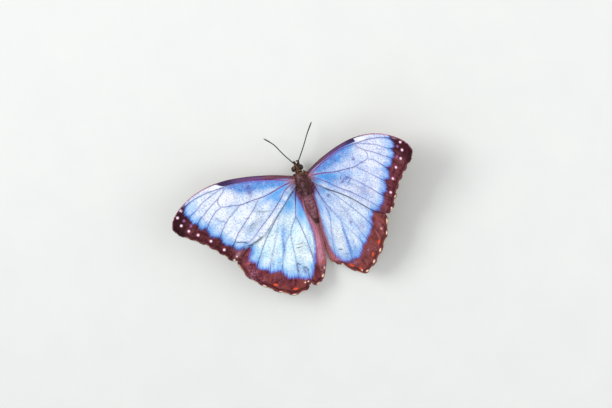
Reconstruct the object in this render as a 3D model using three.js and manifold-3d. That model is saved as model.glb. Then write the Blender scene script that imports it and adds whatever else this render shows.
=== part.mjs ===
// A blue morpho butterfly (Morpho peleides) at life size, standing on four legs with its wings
// half open. Millimetres, +Z up, +Y towards the head, +X to the butterfly's right.
// The model is drawn about the midpoint between the forewing hinges, and at the end it is moved
// so that the origin lies under the middle of its box, on the floor.
import * as THREE from 'three';
import { mergeVertices } from 'three/addons/utils/BufferGeometryUtils.js';
import Module from 'manifold-3d';

const wasm = await Module();
wasm.setup();

const { clamp, degToRad, lerp, smoothstep } = THREE.MathUtils;

// Driving dimensions.
const GAP = 0.3;                        // clearance between pieces that touch in life
const HINGE_HEIGHT = 8;                 // forewing hinges above the floor
const HINGE_HALF_WIDTH = 4;             // forewing hinges from the midline
const DIHEDRAL = degToRad(19.6);        // how far the wings are raised
const BODY_PITCH = degToRad(8);         // head end of the body raised above its tail end
const WING_THICKNESS = 0.5;
const HINDWING_DROP = 1.0;              // hindwings run this far under the forewings
const FOREWING_SCALLOP = 0.45;
const HINDWING_SCALLOP = 0.5;
const VEINS_AT_EDGE = 7;                // bays between the vein ends along an outer edge
const BAY_STEPS = 3;                    // facets in one bay
const SPAN_STEPS = 11;                  // facets from a wing's root to its outer edge
const BODY_SHIFT = -0.25;               // the body hangs a little to the left between the wings
const ABDOMEN_SHIFT = -0.6;             // and the abdomen hangs further left than the thorax
const THORAX_CENTRE = new THREE.Vector3(BODY_SHIFT, -3.4, 0);
const THORAX_HALF_WIDTH = 3.7;
const THORAX_HALF_HEIGHT = 3.9;
const THORAX_FRONT = 4.7;               // along the body axis from the thorax centre
const THORAX_REAR = -5.8;
const ABDOMEN_HALF_WIDTH = 2.7;
const ABDOMEN_END = -19.6;
const ABDOMEN_RINGS = 8;
const HEAD_CENTRE = new THREE.Vector3(-0.6, 3.7, -0.3);
const HEAD_RADII = new THREE.Vector3(1.9, 2.1, 2.15);
const EYE_CENTRE = new THREE.Vector3(1.85, 0.05, 0.1);  // from the head's centre
const EYE_RADII = new THREE.Vector3(1.1, 1.35, 1.4);
const ANTENNA_SHAFT = 0.25;             // radii
const ANTENNA_CLUB = 0.42;
const TIBIA_RADIUS = 0.36;
const FLOOR = -HINGE_HEIGHT;

function finish(color, roughness, metalness = 0) {
  return new THREE.MeshStandardMaterial({ color, roughness, metalness });
}

const blueScales = finish(0x9cc4ea, 0.4, 0.35);
const darkFur = finish(0x40262a, 0.85);
const hornBrown = finish(0x35221f, 0.55);
const eyeBlack = finish(0x1b1413, 0.2);

const butterfly = new THREE.Group();

function addGroup(place, turn = [0, 0, 0]) {
  const group = new THREE.Group();
  group.position.copy(place);
  group.rotation.set(...turn);
  butterfly.add(group);
  return group;
}

function addNode(group, name, geometry, material) {
  const mesh = new THREE.Mesh(geometry, material);
  mesh.name = name;
  group.add(mesh);
  return mesh;
}

// Merges shared corners and drops the triangles that a pole or a seam leaves without area.
function closed(geometry) {
  const bare = geometry.clone();
  bare.deleteAttribute('normal');
  bare.deleteAttribute('uv');
  const merged = mergeVertices(bare, 1e-5);
  const corners = merged.index.array;
  const kept = [];
  for (let i = 0; i < corners.length; i += 3) {
    const [a, b, c] = corners.slice(i, i + 3);
    if (a !== b && b !== c && c !== a) kept.push(a, b, c);
  }
  merged.setIndex(kept);
  return merged;
}

function reshape(geometry, place) {
  const shaped = closed(geometry);
  const points = shaped.attributes.position;
  const point = new THREE.Vector3();
  for (let i = 0; i < points.count; i += 1) {
    const moved = place(point.fromBufferAttribute(points, i));
    points.setXYZ(i, moved.x, moved.y, moved.z);
  }
  return shaped;
}

function mirrored(geometry) {
  const twin = geometry.clone();
  twin.scale(-1, 1, 1);
  const corners = Array.from(twin.index.array);
  for (let i = 0; i < corners.length; i += 3) {
    [corners[i], corners[i + 1]] = [corners[i + 1], corners[i]];
  }
  twin.setIndex(corners);
  return twin;
}

function toSolid(geometry) {
  const mesh = closed(geometry);
  return new wasm.Manifold(new wasm.Mesh({
    numProp: 3,
    vertProperties: new Float32Array(mesh.attributes.position.array),
    triVerts: new Uint32Array(mesh.index.array),
  }));
}

function toGeometry(solid) {
  const mesh = solid.getMesh();
  const geometry = new THREE.BufferGeometry();
  geometry.setAttribute('position', new THREE.BufferAttribute(mesh.vertProperties, 3));
  geometry.setIndex(Array.from(mesh.triVerts));
  return geometry;
}

// Wings. Each one is a patch stretched between its front edge, outer edge, rear edge and root.
// Plan points are [outward, forward] from the forewing hinge, in the plane of the raised wing.
const FOREWING = {
  front: [[0.4, 1.2], [6.5, 3.8], [12.8, 5.9], [21.5, 8.2], [30.5, 9.6], [39, 9.5], [47, 7.7],
    [54.3, 4.0], [58.6, 0.1], [60, -3.4]],
  outer: [[60, -3.4], [58.3, -6.8], [52, -11.9], [47, -16.5], [42.4, -22], [39.2, -26], [35.6, -28.2]],
  rear: [[0.6, -3.0], [3.2, -6.4], [7.1, -9.5], [11.2, -11.8], [15.3, -14.3], [19.4, -17.4],
    [23.5, -21.2], [27.4, -24.8], [31.6, -27.3], [35.6, -28.2]],
  scallop: FOREWING_SCALLOP,
  bow: 1.1,
  camber: 0.8,
  foldDrop: 0,
  drop: 0,
};

const HINDWING = {
  front: [[0.6, -1.6], [10, -4.2], [20, -9.8], [28.5, -16.5], [33.8, -23], [35.6, -29.4]],
  outer: [[35.6, -29.4], [33.3, -36.2], [28, -42.4], [21.4, -47.8], [15, -51.2], [9.3, -50.8],
    [4, -50], [-0.2, -46.4], [-2.6, -41.5]],
  rear: [[0.4, -6.6], [-0.9, -8.8], [-1.4, -10.6], [-1.4, -13], [-1.7, -16.6], [-2.5, -19.8],
    [-3.5, -23], [-4.3, -26], [-4.4, -30], [-4.0, -34], [-3.4, -38.5], [-2.6, -41.5]],
  scallop: HINDWING_SCALLOP,
  bow: 0.6,
  camber: 1.0,
  foldDrop: 2.0,
  drop: HINDWING_DROP,
};
const FOLD_START = 0.84;                // where the inner fold beside the abdomen begins to bend down

function curveThrough(points) {
  return new THREE.SplineCurve(points.map(([a, b]) => new THREE.Vector2(a, b)));
}

// A worn dent in the outer edge, centred at share `at` of the edge.
function dentDepth(dents, u) {
  return dents.reduce((sum, { at, depth, width }) => {
    return sum + depth * Math.exp(-(((u - at) / width) ** 2));
  }, 0);
}

// Returns the wing's middle surface as a function of u, from the front edge to the rear edge,
// and v, from the root to the outer edge.
function wingSurface(plan, dents) {
  const front = curveThrough(plan.front);
  const outer = curveThrough(plan.outer);
  const rear = curveThrough(plan.rear);
  const rootFront = front.getPointAt(0);
  const rootRear = rear.getPointAt(0);
  const tipFront = front.getPointAt(1);
  const tipRear = rear.getPointAt(1);
  const middle = rootFront.clone().add(rootRear).multiplyScalar(0.5);

  function edgePoint(u) {
    const point = outer.getPointAt(u);
    const bay = Math.sin(Math.PI * VEINS_AT_EDGE * u) ** 2;
    const inward = middle.clone().sub(point).normalize();
    return point.addScaledVector(inward, plan.scallop * bay + dentDepth(dents, u));
  }

  function planPoint(u, v) {
    const point = new THREE.Vector2();
    point.addScaledVector(front.getPointAt(v), 1 - u);
    point.addScaledVector(rear.getPointAt(v), u);
    point.addScaledVector(rootFront.clone().lerp(rootRear, u), 1 - v);
    point.addScaledVector(edgePoint(u), v);
    point.addScaledVector(rootFront, -(1 - u) * (1 - v));
    point.addScaledVector(rootRear, -u * (1 - v));
    point.addScaledVector(tipFront, -(1 - u) * v);
    point.addScaledVector(tipRear, -u * v);
    return point;
  }

  return (u, v) => {
    const { x, y } = planPoint(u, v);
    const bow = plan.bow * Math.sin(Math.PI * v);
    const camber = plan.camber * Math.sin(Math.PI * u) * v;
    const fold = plan.foldDrop * smoothstep(u, FOLD_START, 1) * smoothstep(v, 0, 0.25);
    return new THREE.Vector3(x, y, bow + camber - fold - plan.drop);
  };
}

const NUDGE = 0.002;                    // step for the surface's slopes, as a share of the wing

// A box of thin cells is laid over the patch, half its thickness to each side. `lean` carries the
// outer part of a hindwing outwards.
function rightWing(plan, { lean = 0, dents = [] } = {}) {
  const surface = wingSurface(plan, dents);
  const sheet = new THREE.BoxGeometry(1, 1, 1, VEINS_AT_EDGE * BAY_STEPS, SPAN_STEPS, 1);
  return reshape(sheet, (cell) => {
    const u = cell.x + 0.5;
    const v = cell.y + 0.5;
    const point = surface(u, v);
    const acrossU = surface(clamp(u + NUDGE, 0, 1), v).sub(surface(clamp(u - NUDGE, 0, 1), v));
    const acrossV = surface(u, clamp(v + NUDGE, 0, 1)).sub(surface(u, clamp(v - NUDGE, 0, 1)));
    const up = acrossU.cross(acrossV).normalize();
    if (up.z < 0) up.negate();
    point.addScaledVector(up, cell.z * WING_THICKNESS);
    point.x += lean * smoothstep(-point.y, 8, 30) * smoothstep(point.x, 0, 20);
    return point;
  });
}

// Each pair of wings is raised to the dihedral about its hinge.
const rightHinge = addGroup(new THREE.Vector3(HINGE_HALF_WIDTH, 0, 0), [0, -DIHEDRAL, 0]);
const leftHinge = addGroup(new THREE.Vector3(-HINGE_HALF_WIDTH, 0, 0), [0, DIHEDRAL, 0]);
addNode(rightHinge, 'forewing_right', rightWing(FOREWING), blueScales);

// The left forewing's rear edge has curled under near its outer corner, so it is cut back there.
const CURLED_REAR = [[0.6, -3.0], [4.0, -6.5], [8.4, -10.3], [12.9, -13.6], [17.9, -17.5],
  [21.3, -20.1], [24.8, -21.8], [28.5, -22.7], [32.2, -24.2], [35.6, -28.2]];
const leftForewing = rightWing({ ...FOREWING, rear: CURLED_REAR });
addNode(leftHinge, 'forewing_left', mirrored(leftForewing), blueScales);

// Both hindwings swing a little to the butterfly's left, so the right one's inner fold reaches
// further in. Their outer edges are worn.
const HINDWING_SWING = degToRad(1.4);
const RIGHT_FOLD = [[0.4, -6.6], [-1.4, -8.6], [-2.3, -10.4], [-2.7, -13], [-3.2, -17], [-4.0, -20],
  [-5.0, -23], [-5.7, -26], [-6.2, -30], [-6.5, -34], [-6.7, -38.5], [-6.4, -42.2]];
const RIGHT_TAIL = [[9.3, -50.8], [4, -50], [-1.5, -47.5], [-6.4, -42.2]];
const RIGHT_HINDWING = {
  ...HINDWING,
  outer: [...HINDWING.outer.slice(0, 5), ...RIGHT_TAIL],
  rear: RIGHT_FOLD,
};
const RIGHT_WEAR = [{ at: 0.81, depth: 4.3, width: 0.13 }, { at: 0.18, depth: 0.5, width: 0.12 }];
const LEFT_WEAR = [{ at: 0.728, depth: 2.6, width: 0.022 }];
const rightHindwing = rightWing(RIGHT_HINDWING, { lean: -1.5, dents: RIGHT_WEAR });
const leftHindwing = rightWing(HINDWING, { lean: 0.9, dents: LEFT_WEAR });
addNode(rightHinge, 'hindwing_right', rightHindwing, blueScales).rotation.z = -HINDWING_SWING;
addNode(leftHinge, 'hindwing_left', mirrored(leftHindwing), blueScales).rotation.z = -HINDWING_SWING;

// The thorax and the abdomen are turned about the body axis, which is tilted to the body's pitch.
const trunk = addGroup(THORAX_CENTRE, [BODY_PITCH, 0, 0]);

function turned(profile, sides, deepening) {
  const outline = profile.map(([along, radius]) => new THREE.Vector2(radius, along));
  const shape = closed(new THREE.LatheGeometry(outline, sides));
  shape.scale(1, 1, deepening);
  return shape;
}

// Thorax: a deep barrel that narrows to a short neck. [along the axis, radius]
const THORAX_PROFILE = [
  [THORAX_REAR, 0], [THORAX_REAR + 0.1, 1.6], [-5.1, 2.5], [-4, 3.1], [-2.4, 3.55],
  [-0.6, THORAX_HALF_WIDTH], [1.0, 3.6], [2.2, 3.35], [3.1, 2.95], [3.7, 2.4], [4.2, 1.75],
  [THORAX_FRONT - 0.1, 1.2], [THORAX_FRONT, 0],
];
const THORAX_SIDES = 18;
const THORAX_DEEPENING = THORAX_HALF_HEIGHT / THORAX_HALF_WIDTH;
addNode(trunk, 'thorax', turned(THORAX_PROFILE, THORAX_SIDES, THORAX_DEEPENING), darkFur);

// Abdomen: eight rings, widest at the third, with a shallow groove after each ring.
function abdomenProfile() {
  const start = THORAX_REAR - GAP;
  const profile = [[start, 0]];
  const facetsPerRing = 3;
  const facets = ABDOMEN_RINGS * facetsPerRing;
  for (let i = 0; i <= facets; i += 1) {
    const t = i / facets;
    const along = lerp(start, ABDOMEN_END + 0.3, t);
    const belly = lerp(0.85, 1, Math.sin(Math.PI * Math.min(1, t * 1.35) / 2));
    const taper = Math.sqrt(1 - 0.88 * smoothstep(t, 0.35, 1.04));
    const groove = i % facetsPerRing === 0 ? 0.94 : 1;
    profile.push([along, ABDOMEN_HALF_WIDTH * belly * taper * groove]);
  }
  profile.push([ABDOMEN_END, 0]);
  return profile.reverse();
}
const ABDOMEN_SIDES = 14;
const abdomen = turned(abdomenProfile(), ABDOMEN_SIDES, 1);
abdomen.translate(ABDOMEN_SHIFT, 0, 0);
addNode(trunk, 'abdomen', abdomen, darkFur);

function ellipsoid(centre, radii, around, down) {
  const ball = new THREE.SphereGeometry(1, around, down);
  return reshape(ball, (point) => point.multiply(radii).add(centre));
}

// Head: a rounded capsule with a socket for each eye. Its pieces are placed from its centre.
const face = addGroup(HEAD_CENTRE);

function headGeometry() {
  let head = toSolid(ellipsoid(new THREE.Vector3(), HEAD_RADII, 20, 14));
  const socketRadii = EYE_RADII.clone().addScalar(GAP);
  for (const side of [-1, 1]) {
    const centre = EYE_CENTRE.clone();
    centre.x *= side;
    head = head.subtract(toSolid(ellipsoid(centre, socketRadii, 14, 10)));
  }
  return toGeometry(head);
}
addNode(face, 'head', headGeometry(), darkFur);

const eye = ellipsoid(EYE_CENTRE, EYE_RADII, 14, 10);
addNode(face, 'eye_right', eye, eyeBlack);
addNode(face, 'eye_left', mirrored(eye), eyeBlack);

// A limb is a capped tube of changing radius along a curve through the points.
function limb(points, radiusAt, sides, steps) {
  const corners = points.map((point) => new THREE.Vector3(...point));
  const curve = new THREE.CatmullRomCurve3(corners, false, 'centripetal');
  const frames = curve.computeFrenetFrames(steps, false);
  const tube = new THREE.CylinderGeometry(1, 1, 1, sides, steps);
  return reshape(tube, (cell) => {
    const t = cell.y + 0.5;
    const step = Math.round(t * steps);
    const point = curve.getPointAt(t);
    point.addScaledVector(frames.normals[step], cell.z * radiusAt(t));
    point.addScaledVector(frames.binormals[step], cell.x * radiusAt(t));
    return point;
  });
}

// Antennae: thin shafts that thicken to a slender club over the last quarter.
const antennaRadius = (t) => lerp(ANTENNA_SHAFT, ANTENNA_CLUB, smoothstep(t, 0.7, 0.9))
  * (1 - 0.45 * smoothstep(t, 0.94, 1));
const ANTENNAE = {
  right: [[1.05, 1.95, 1.0], [6.5, 8.4, 1.4], [10.4, 13.8, 0.8], [13.8, 18.2, -0.7]],
  left: [[-0.35, 2.25, 1.0], [-3.65, 8.3, 1.6], [-6.6, 13.7, 1.0], [-10.8, 17.8, -0.7]],
};
for (const [side, points] of Object.entries(ANTENNAE)) {
  addNode(face, `antenna_${side}`, limb(points, antennaRadius, 6, 18), hornBrown);
}

// Mouthparts: two furry palps that turn up in front of the face, and the coiled tongue.
const PALP = [[0.85, 2.05, -2.15], [0.9, 2.85, -1.7], [0.8, 3.2, -1.0], [0.65, 3.25, -0.3]];
const palp = limb(PALP, (t) => lerp(0.42, 0.28, t), 7, 7);
addNode(face, 'palp_right', palp, darkFur);
addNode(face, 'palp_left', mirrored(palp), darkFur);

const TONGUE = { radius: 0.25, outer: 1.35, inner: 0.42, turns: 1.6, points: 18, y: 1.05, z: -3.85 };
function tonguePoints() {
  return Array.from({ length: TONGUE.points + 1 }, (_, i) => {
    const t = i / TONGUE.points;
    const angle = degToRad(100) - TONGUE.turns * 2 * Math.PI * t;
    const radius = lerp(TONGUE.outer, TONGUE.inner, t);
    return [0, TONGUE.y + radius * Math.cos(angle), TONGUE.z + radius * Math.sin(angle)];
  });
}
addNode(face, 'proboscis', limb(tonguePoints(), () => TONGUE.radius, 6, 26), hornBrown);

// Legs. The short brush-footed forelegs stay folded under the neck, and the butterfly stands on
// the other four. A foot is cut flat where it meets the floor.
const legs = addGroup(new THREE.Vector3(BODY_SHIFT, 0, 0));
const swelling = (t, at, width) => Math.exp(-(((t - at) / width) ** 2));
const walkingRadius = (t) => lerp(0.62, TIBIA_RADIUS, smoothstep(t, 0.05, 0.6))
  + 0.1 * swelling(t, 0.2, 0.1) + 0.08 * swelling(t, 0.42, 0.04) - 0.06 * smoothstep(t, 0.7, 0.95);
const SOLE = 0.2;                       // the foot's centreline above the floor
const ANKLE = FLOOR + SOLE + 0.1;
const TOES = FLOOR + SOLE;
const WALKING_LEGS = {
  mid: [[1.5, -3.0, -4.6], [3.2, -2.5, -4.6], [7.4, -1.4, -2.4], [9.0, -0.7, -4.8],
    [10.6, 0.1, ANKLE], [12.2, 0.5, TOES], [14.2, 0.9, TOES], [16, 1.1, TOES]],
  hind: [[1.5, -5.2, -4.75], [2.8, -6.8, -4.9], [5.9, -11.2, -3.6], [7.4, -14.2, -5.7],
    [8.6, -17.0, ANKLE], [9.3, -18.8, TOES], [10.0, -21.2, TOES], [10.6, -23.6, TOES]],
};
const belowFloor = new THREE.BoxGeometry(80, 80, 4);
belowFloor.translate(0, 0, FLOOR - 2);
for (const [pair, points] of Object.entries(WALKING_LEGS)) {
  const leg = toGeometry(toSolid(limb(points, walkingRadius, 7, 24)).subtract(toSolid(belowFloor)));
  addNode(legs, `${pair}leg_right`, leg, hornBrown);
  addNode(legs, `${pair}leg_left`, mirrored(leg), hornBrown);
}

const FORELEG = [[0.9, -1.6, -3.95], [1.0, -0.5, -4.55], [0.95, 0.6, -4.65], [0.8, 1.5, -4.35]];
const foreleg = limb(FORELEG, (t) => lerp(0.42, 0.3, t), 7, 9);
addNode(legs, 'foreleg_right', foreleg, darkFur);
addNode(legs, 'foreleg_left', mirrored(foreleg), darkFur);

// The origin goes under the middle of the box, at floor level.
const box = new THREE.Box3().setFromObject(butterfly, true);
const middle = box.getCenter(new THREE.Vector3());
butterfly.position.set(-middle.x, -middle.y, -box.min.z);

export default butterfly;
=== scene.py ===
from math import cos, pi, radians, sin

import bpy
import numpy as np
from mathutils import Matrix, Vector


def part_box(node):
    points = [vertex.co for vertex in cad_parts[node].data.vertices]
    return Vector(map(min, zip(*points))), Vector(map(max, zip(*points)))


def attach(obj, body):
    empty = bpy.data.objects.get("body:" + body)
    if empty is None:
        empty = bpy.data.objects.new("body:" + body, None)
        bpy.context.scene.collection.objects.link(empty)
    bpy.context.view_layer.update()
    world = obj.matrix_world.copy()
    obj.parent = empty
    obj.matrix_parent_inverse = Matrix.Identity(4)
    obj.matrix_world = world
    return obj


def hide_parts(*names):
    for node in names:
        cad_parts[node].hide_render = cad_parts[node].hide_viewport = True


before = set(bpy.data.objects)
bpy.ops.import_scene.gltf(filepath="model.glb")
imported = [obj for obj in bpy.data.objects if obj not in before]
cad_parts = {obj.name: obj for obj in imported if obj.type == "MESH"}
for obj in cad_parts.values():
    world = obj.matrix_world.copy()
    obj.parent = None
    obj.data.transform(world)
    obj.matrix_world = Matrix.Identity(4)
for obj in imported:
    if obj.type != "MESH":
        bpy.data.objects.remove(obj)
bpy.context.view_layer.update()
MM = 0.001
random = np.random.default_rng(7)


# ---- Studio: a pale floor, a soft even sky and two broad lamps, with the butterfly seen from
# ---- almost straight above, a little to its right.
def paint(code):
    """A colour written as six hex digits, as the shader's linear values."""
    parts = [int(code[i:i + 2], 16) / 255 for i in (0, 2, 4)]
    linear = [c / 12.92 if c <= 0.04045 else ((c + 0.055) / 1.055) ** 2.4 for c in parts]
    return (*linear, 1.0)


class Value:
    """A shader socket that sums can be written on."""

    def __init__(self, finish, socket):
        self.finish = finish
        self.socket = socket

    def sum_with(self, operation, *others):
        return self.finish.add("ShaderNodeMath", {"operation": operation}, *others)

    def __add__(self, other):
        return self.sum_with("ADD", self, other)

    def __sub__(self, other):
        return self.sum_with("SUBTRACT", self, other)

    def __rsub__(self, other):
        return self.sum_with("SUBTRACT", other, self)

    def __mul__(self, other):
        return self.sum_with("MULTIPLY", self, other)

    __radd__ = __add__
    __rmul__ = __mul__

    def least(self, other):
        return self.sum_with("MINIMUM", self, other)

    def rise(self, low, high):
        """0 below low, 1 above high, and a smooth rise between them."""
        return self.finish.add("ShaderNodeMapRange", {"interpolation_type": "SMOOTHSTEP"}, self, low, high)

    def fall(self, low, high):
        return 1 - self.rise(low, high)


class Finish:
    """A material, built up from its nodes."""

    def __init__(self, name):
        self.material = bpy.data.materials.new(name)
        self.material.use_nodes = True
        self.tree = self.material.node_tree
        self.shader = self.tree.nodes["Principled BSDF"]

    def add(self, kind, settings, *values, output=0, **named):
        """A node of a kind: its settings, then the values or links of its sockets."""
        node = self.tree.nodes.new(kind)
        for name, setting in settings.items():
            if name == "stops":
                stops = node.color_ramp.elements
                for _ in setting[2:]:
                    stops.new(0.5)
                for stop, (at, colour) in zip(stops, setting):
                    stop.position = at
                    stop.color = colour
            else:
                setattr(node, name, setting)
        for place, value in [*enumerate(values), *named.items()]:
            if value is not None:
                self.feed(node.inputs[place], value)
        return Value(self, node.outputs[output])

    def feed(self, socket, value):
        if isinstance(value, Value):
            self.tree.links.new(value.socket, socket)
        else:
            socket.default_value = value

    def set(self, **values):
        """The shader's own sockets, their spaces written as low lines."""
        for name, value in values.items():
            self.feed(self.shader.inputs[name.replace("_", " ")], value)

    def mix(self, factor, first, second):
        settings = {"data_type": "RGBA"}
        return self.add("ShaderNodeMix", settings, factor, *[None] * 5, first, second, output=2)

    def reading(self, name):
        return self.add("ShaderNodeAttribute", {"attribute_name": name}, output=2)

    def place(self, name):
        return self.add("ShaderNodeAttribute", {"attribute_name": name}, output=1)

    def spaced(self, vector, *scale):
        """A vector with each of its lengths scaled."""
        return self.add("ShaderNodeVectorMath", {"operation": "MULTIPLY"}, vector, scale)

    def noise(self, vector, scale, detail=3.0, roughness=0.55):
        return self.add("ShaderNodeTexNoise", {}, vector, Scale=scale, Detail=detail, Roughness=roughness)

    def bump(self, height, distance, strength=1.0):
        self.set(Normal=self.add("ShaderNodeBump", {}, Height=height, Distance=distance, Strength=strength))


DIRECTION = Vector((0.308, 0.070, 0.949)).normalized()
UPRIGHT = Vector((0.300, 0.939, -0.166))
SIDEWAYS = UPRIGHT.cross(DIRECTION).normalized()
UPRIGHT = DIRECTION.cross(SIDEWAYS)
PICTURE_WIDTH = 0.2803
LENS = 400.0
HEAD_FROM_HINGE = Vector((-0.6, 3.7, -0.3))
EYE_FROM_HEAD = Vector((0, 0.05, 0.1))

eye_boxes = [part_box(node) for node in ("eye_left", "eye_right")]
eye_middle = sum((low + high for low, high in eye_boxes), Vector()) / 4
hinge = eye_middle - (EYE_FROM_HEAD + HEAD_FROM_HINGE) * MM

camera_data = bpy.data.cameras.new("camera")
camera_data.lens = LENS
camera_data.sensor_width = 36
camera = bpy.data.objects.new("camera", camera_data)
bpy.context.scene.collection.objects.link(camera)
aim = hinge + SIDEWAYS * 2.29 * MM - UPRIGHT * 13.05 * MM
distance = PICTURE_WIDTH * LENS / 36
turn = Matrix((SIDEWAYS, UPRIGHT, DIRECTION)).transposed()
camera.matrix_world = Matrix.Translation(aim + DIRECTION * distance) @ turn.to_4x4()
bpy.context.scene.camera = camera
bpy.context.scene.view_settings.view_transform = "Standard"

world = bpy.data.worlds.new("sky")
bpy.context.scene.world = world
world.use_nodes = True
world.node_tree.nodes["Background"].inputs["Color"].default_value = (0.93, 0.96, 1.0, 1.0)
world.node_tree.nodes["Background"].inputs["Strength"].default_value = 0.62

for name, place, size, power in (
    ("key_lamp", (-0.28, 0.34, 0.62), 0.42, 2.6),
    ("side_lamp", (0.45, -0.05, 0.5), 0.5, 1.4),
):
    lamp_data = bpy.data.lights.new(name, "AREA")
    lamp_data.energy = power
    lamp_data.size = size
    lamp = bpy.data.objects.new(name, lamp_data)
    bpy.context.scene.collection.objects.link(lamp)
    lamp.location = place
    lamp.rotation_euler = (Vector(place)).to_track_quat("Z", "Y").to_euler()

bpy.ops.object.select_all(action="DESELECT")
bpy.ops.mesh.primitive_plane_add(size=6)
floor = bpy.context.object
floor.name = "floor"
floor_finish = Finish("pale_floor")
grain = floor_finish.noise(floor_finish.add("ShaderNodeTexCoord", {}, output="Object"), 40.0)
floor_finish.set(Base_Color=floor_finish.mix(grain, paint("EAEAE6"), paint("E2E3E0")), Roughness=0.8)
floor.data.materials.append(floor_finish.material)


# ---- Thorax, abdomen, head, palps and folded forelegs: one soft skin under the fur. The thorax
# ---- is a deep barrel tilted up at the head end, and the abdomen hangs behind it a little to the
# ---- left. Everything is swelled from rings, joined and drawn into a single skin.
BODY_PITCH = radians(8)
DIHEDRAL = radians(19.6)                # how far the wings are raised
BODY_SHIFT = -0.25
THORAX_CENTRE = Vector((BODY_SHIFT, -3.4, 0))
# Rings along the body: place along it, half width, half height, all in millimetres.
THORAX_RINGS = [(-6.2, 1.4, 1.5), (-5.6, 2.1, 2.3), (-4.6, 2.5, 2.85), (-3.0, 2.8, 3.25),
                (-1.0, 2.95, 3.45), (0.8, 2.9, 3.4), (2.0, 2.75, 3.1), (3.0, 2.4, 2.7),
                (3.8, 2.05, 2.1), (4.6, 1.6, 1.6), (5.6, 1.45, 1.4), (6.4, 1.25, 1.2)]
ABDOMEN_RINGS = 8
ABDOMEN_FRONT = -5.0
ABDOMEN_BACK = -19.3
ABDOMEN_HALF_WIDTH = 2.45
ABDOMEN_LEFT = 0.55


def to_scene(points):
    """Millimetres from the middle of the hinges, as a place in the scene."""
    return np.asarray(points) * MM + np.array(hinge)


def select_only(*pieces):
    bpy.ops.object.select_all(action="DESELECT")
    for piece in pieces:
        piece.select_set(True)
    bpy.context.view_layer.objects.active = pieces[-1]


def swelled(rings, sides=36):
    """A closed form that is drawn out along +Y, ring by ring."""
    bpy.ops.object.select_all(action="DESELECT")
    bpy.ops.mesh.primitive_circle_add(vertices=sides, radius=MM, fill_type="NGON", rotation=(pi / 2, 0, 0))
    bpy.ops.object.transform_apply(location=True, rotation=True, scale=True)
    piece = bpy.context.object
    bpy.ops.object.mode_set(mode="EDIT")
    bpy.ops.mesh.select_all(action="SELECT")
    along, wide, high = rings[0]
    bpy.ops.transform.resize(value=(wide, 1, high), center_override=(0, 0, 0))
    bpy.ops.transform.translate(value=(0, along * MM, 0))
    for (before, w0, h0), (after, w1, h1) in zip(rings, rings[1:]):
        bpy.ops.mesh.extrude_region_move(TRANSFORM_OT_translate={"value": (0, (after - before) * MM, 0)})
        bpy.ops.transform.resize(value=(w1 / w0, 1, h1 / h0), center_override=(0, after * MM, 0))
    bpy.ops.mesh.select_all(action="SELECT")
    bpy.ops.mesh.normals_make_consistent(inside=False)
    bpy.ops.object.mode_set(mode="OBJECT")
    return piece


def ball(centre, radii, turn=(0, 0, 0)):
    """An ellipsoid, centre and radii in millimetres from the hinges' middle."""
    bpy.ops.object.select_all(action="DESELECT")
    bpy.ops.mesh.primitive_uv_sphere_add(segments=40, ring_count=24, location=to_scene(centre),
                                         scale=[r * MM for r in radii], rotation=turn)
    bpy.ops.object.transform_apply(location=True, rotation=True, scale=True)
    return bpy.context.object


def rod(points, radii, sides=8):
    """A round rod through points in the scene, with a radius in millimetres at each one."""
    bpy.ops.object.select_all(action="DESELECT")
    bpy.ops.curve.primitive_nurbs_path_add()
    path = bpy.context.object
    curve = path.data
    curve.splines.clear()
    line = curve.splines.new("POLY")
    line.points.add(len(points) - 1)
    line.points.foreach_set("co", np.column_stack([points, np.ones(len(points))]).ravel())
    line.points.foreach_set("radius", np.asarray(radii, float))
    curve.bevel_depth = MM
    curve.bevel_resolution = (sides - 4) // 2
    curve.use_fill_caps = True
    curve.dimensions = "3D"
    path.location = (0, 0, 0)
    bpy.ops.object.convert(target="MESH")
    piece = bpy.context.object
    bpy.ops.object.transform_apply(location=True, rotation=True, scale=True)
    return piece


def smooth_path(points, count):
    """Evenly spaced points on a smooth curve through the given ones."""
    corners = np.asarray(points, float)
    corners = np.vstack([2 * corners[0] - corners[1], corners, 2 * corners[-1] - corners[-2]])
    spans = len(corners) - 3
    t = np.linspace(0, spans, 60 * spans + 1)
    i = np.minimum(t.astype(int), spans - 1)
    w = (t - i)[:, None]
    a, b, c, d = corners[i], corners[i + 1], corners[i + 2], corners[i + 3]
    line = 0.5 * (2 * b + (c - a) * w + (2 * a - 5 * b + 4 * c - d) * w**2 + (3 * b - a - 3 * c + d) * w**3)
    length = np.r_[0, np.cumsum(np.linalg.norm(np.diff(line, axis=0), axis=1))]
    even = np.linspace(0, length[-1], count)
    return np.column_stack([np.interp(even, length, line[:, k]) for k in range(line.shape[1])])


def joined(name, pieces):
    select_only(*pieces)
    if len(pieces) > 1:
        bpy.ops.object.join()
    piece = bpy.context.object
    piece.name = name
    piece.data.name = name
    return piece


def abdomen_rings():
    rings = []
    steps = ABDOMEN_RINGS * 4
    for i in range(steps + 1):
        t = i / steps
        along = ABDOMEN_BACK + (ABDOMEN_FRONT - ABDOMEN_BACK) * t
        back = 1 - t
        belly = 0.86 + 0.14 * sin(pi * min(1, back * 1.35) / 2)
        near_tip = np.clip((back - 0.35) / 0.69, 0, 1)
        taper = (1 - 0.9 * near_tip**2 * (3 - 2 * near_tip)) ** 0.5
        seam = 1 - 0.045 * max(0.0, cos(2 * pi * ABDOMEN_RINGS * t)) ** 6
        radius = ABDOMEN_HALF_WIDTH * belly * taper * seam * (0.55 if i == 0 else 1)
        rings.append((along, radius, radius))
    return rings


body_turn = Matrix.Translation(to_scene(THORAX_CENTRE)) @ Matrix.Rotation(BODY_PITCH, 4, "X")
thorax = swelled(THORAX_RINGS)
thorax.data.transform(body_turn)
abdomen = swelled(abdomen_rings())
abdomen.data.transform(body_turn @ Matrix.Translation((-ABDOMEN_LEFT * MM, 0, 0)))

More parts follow.
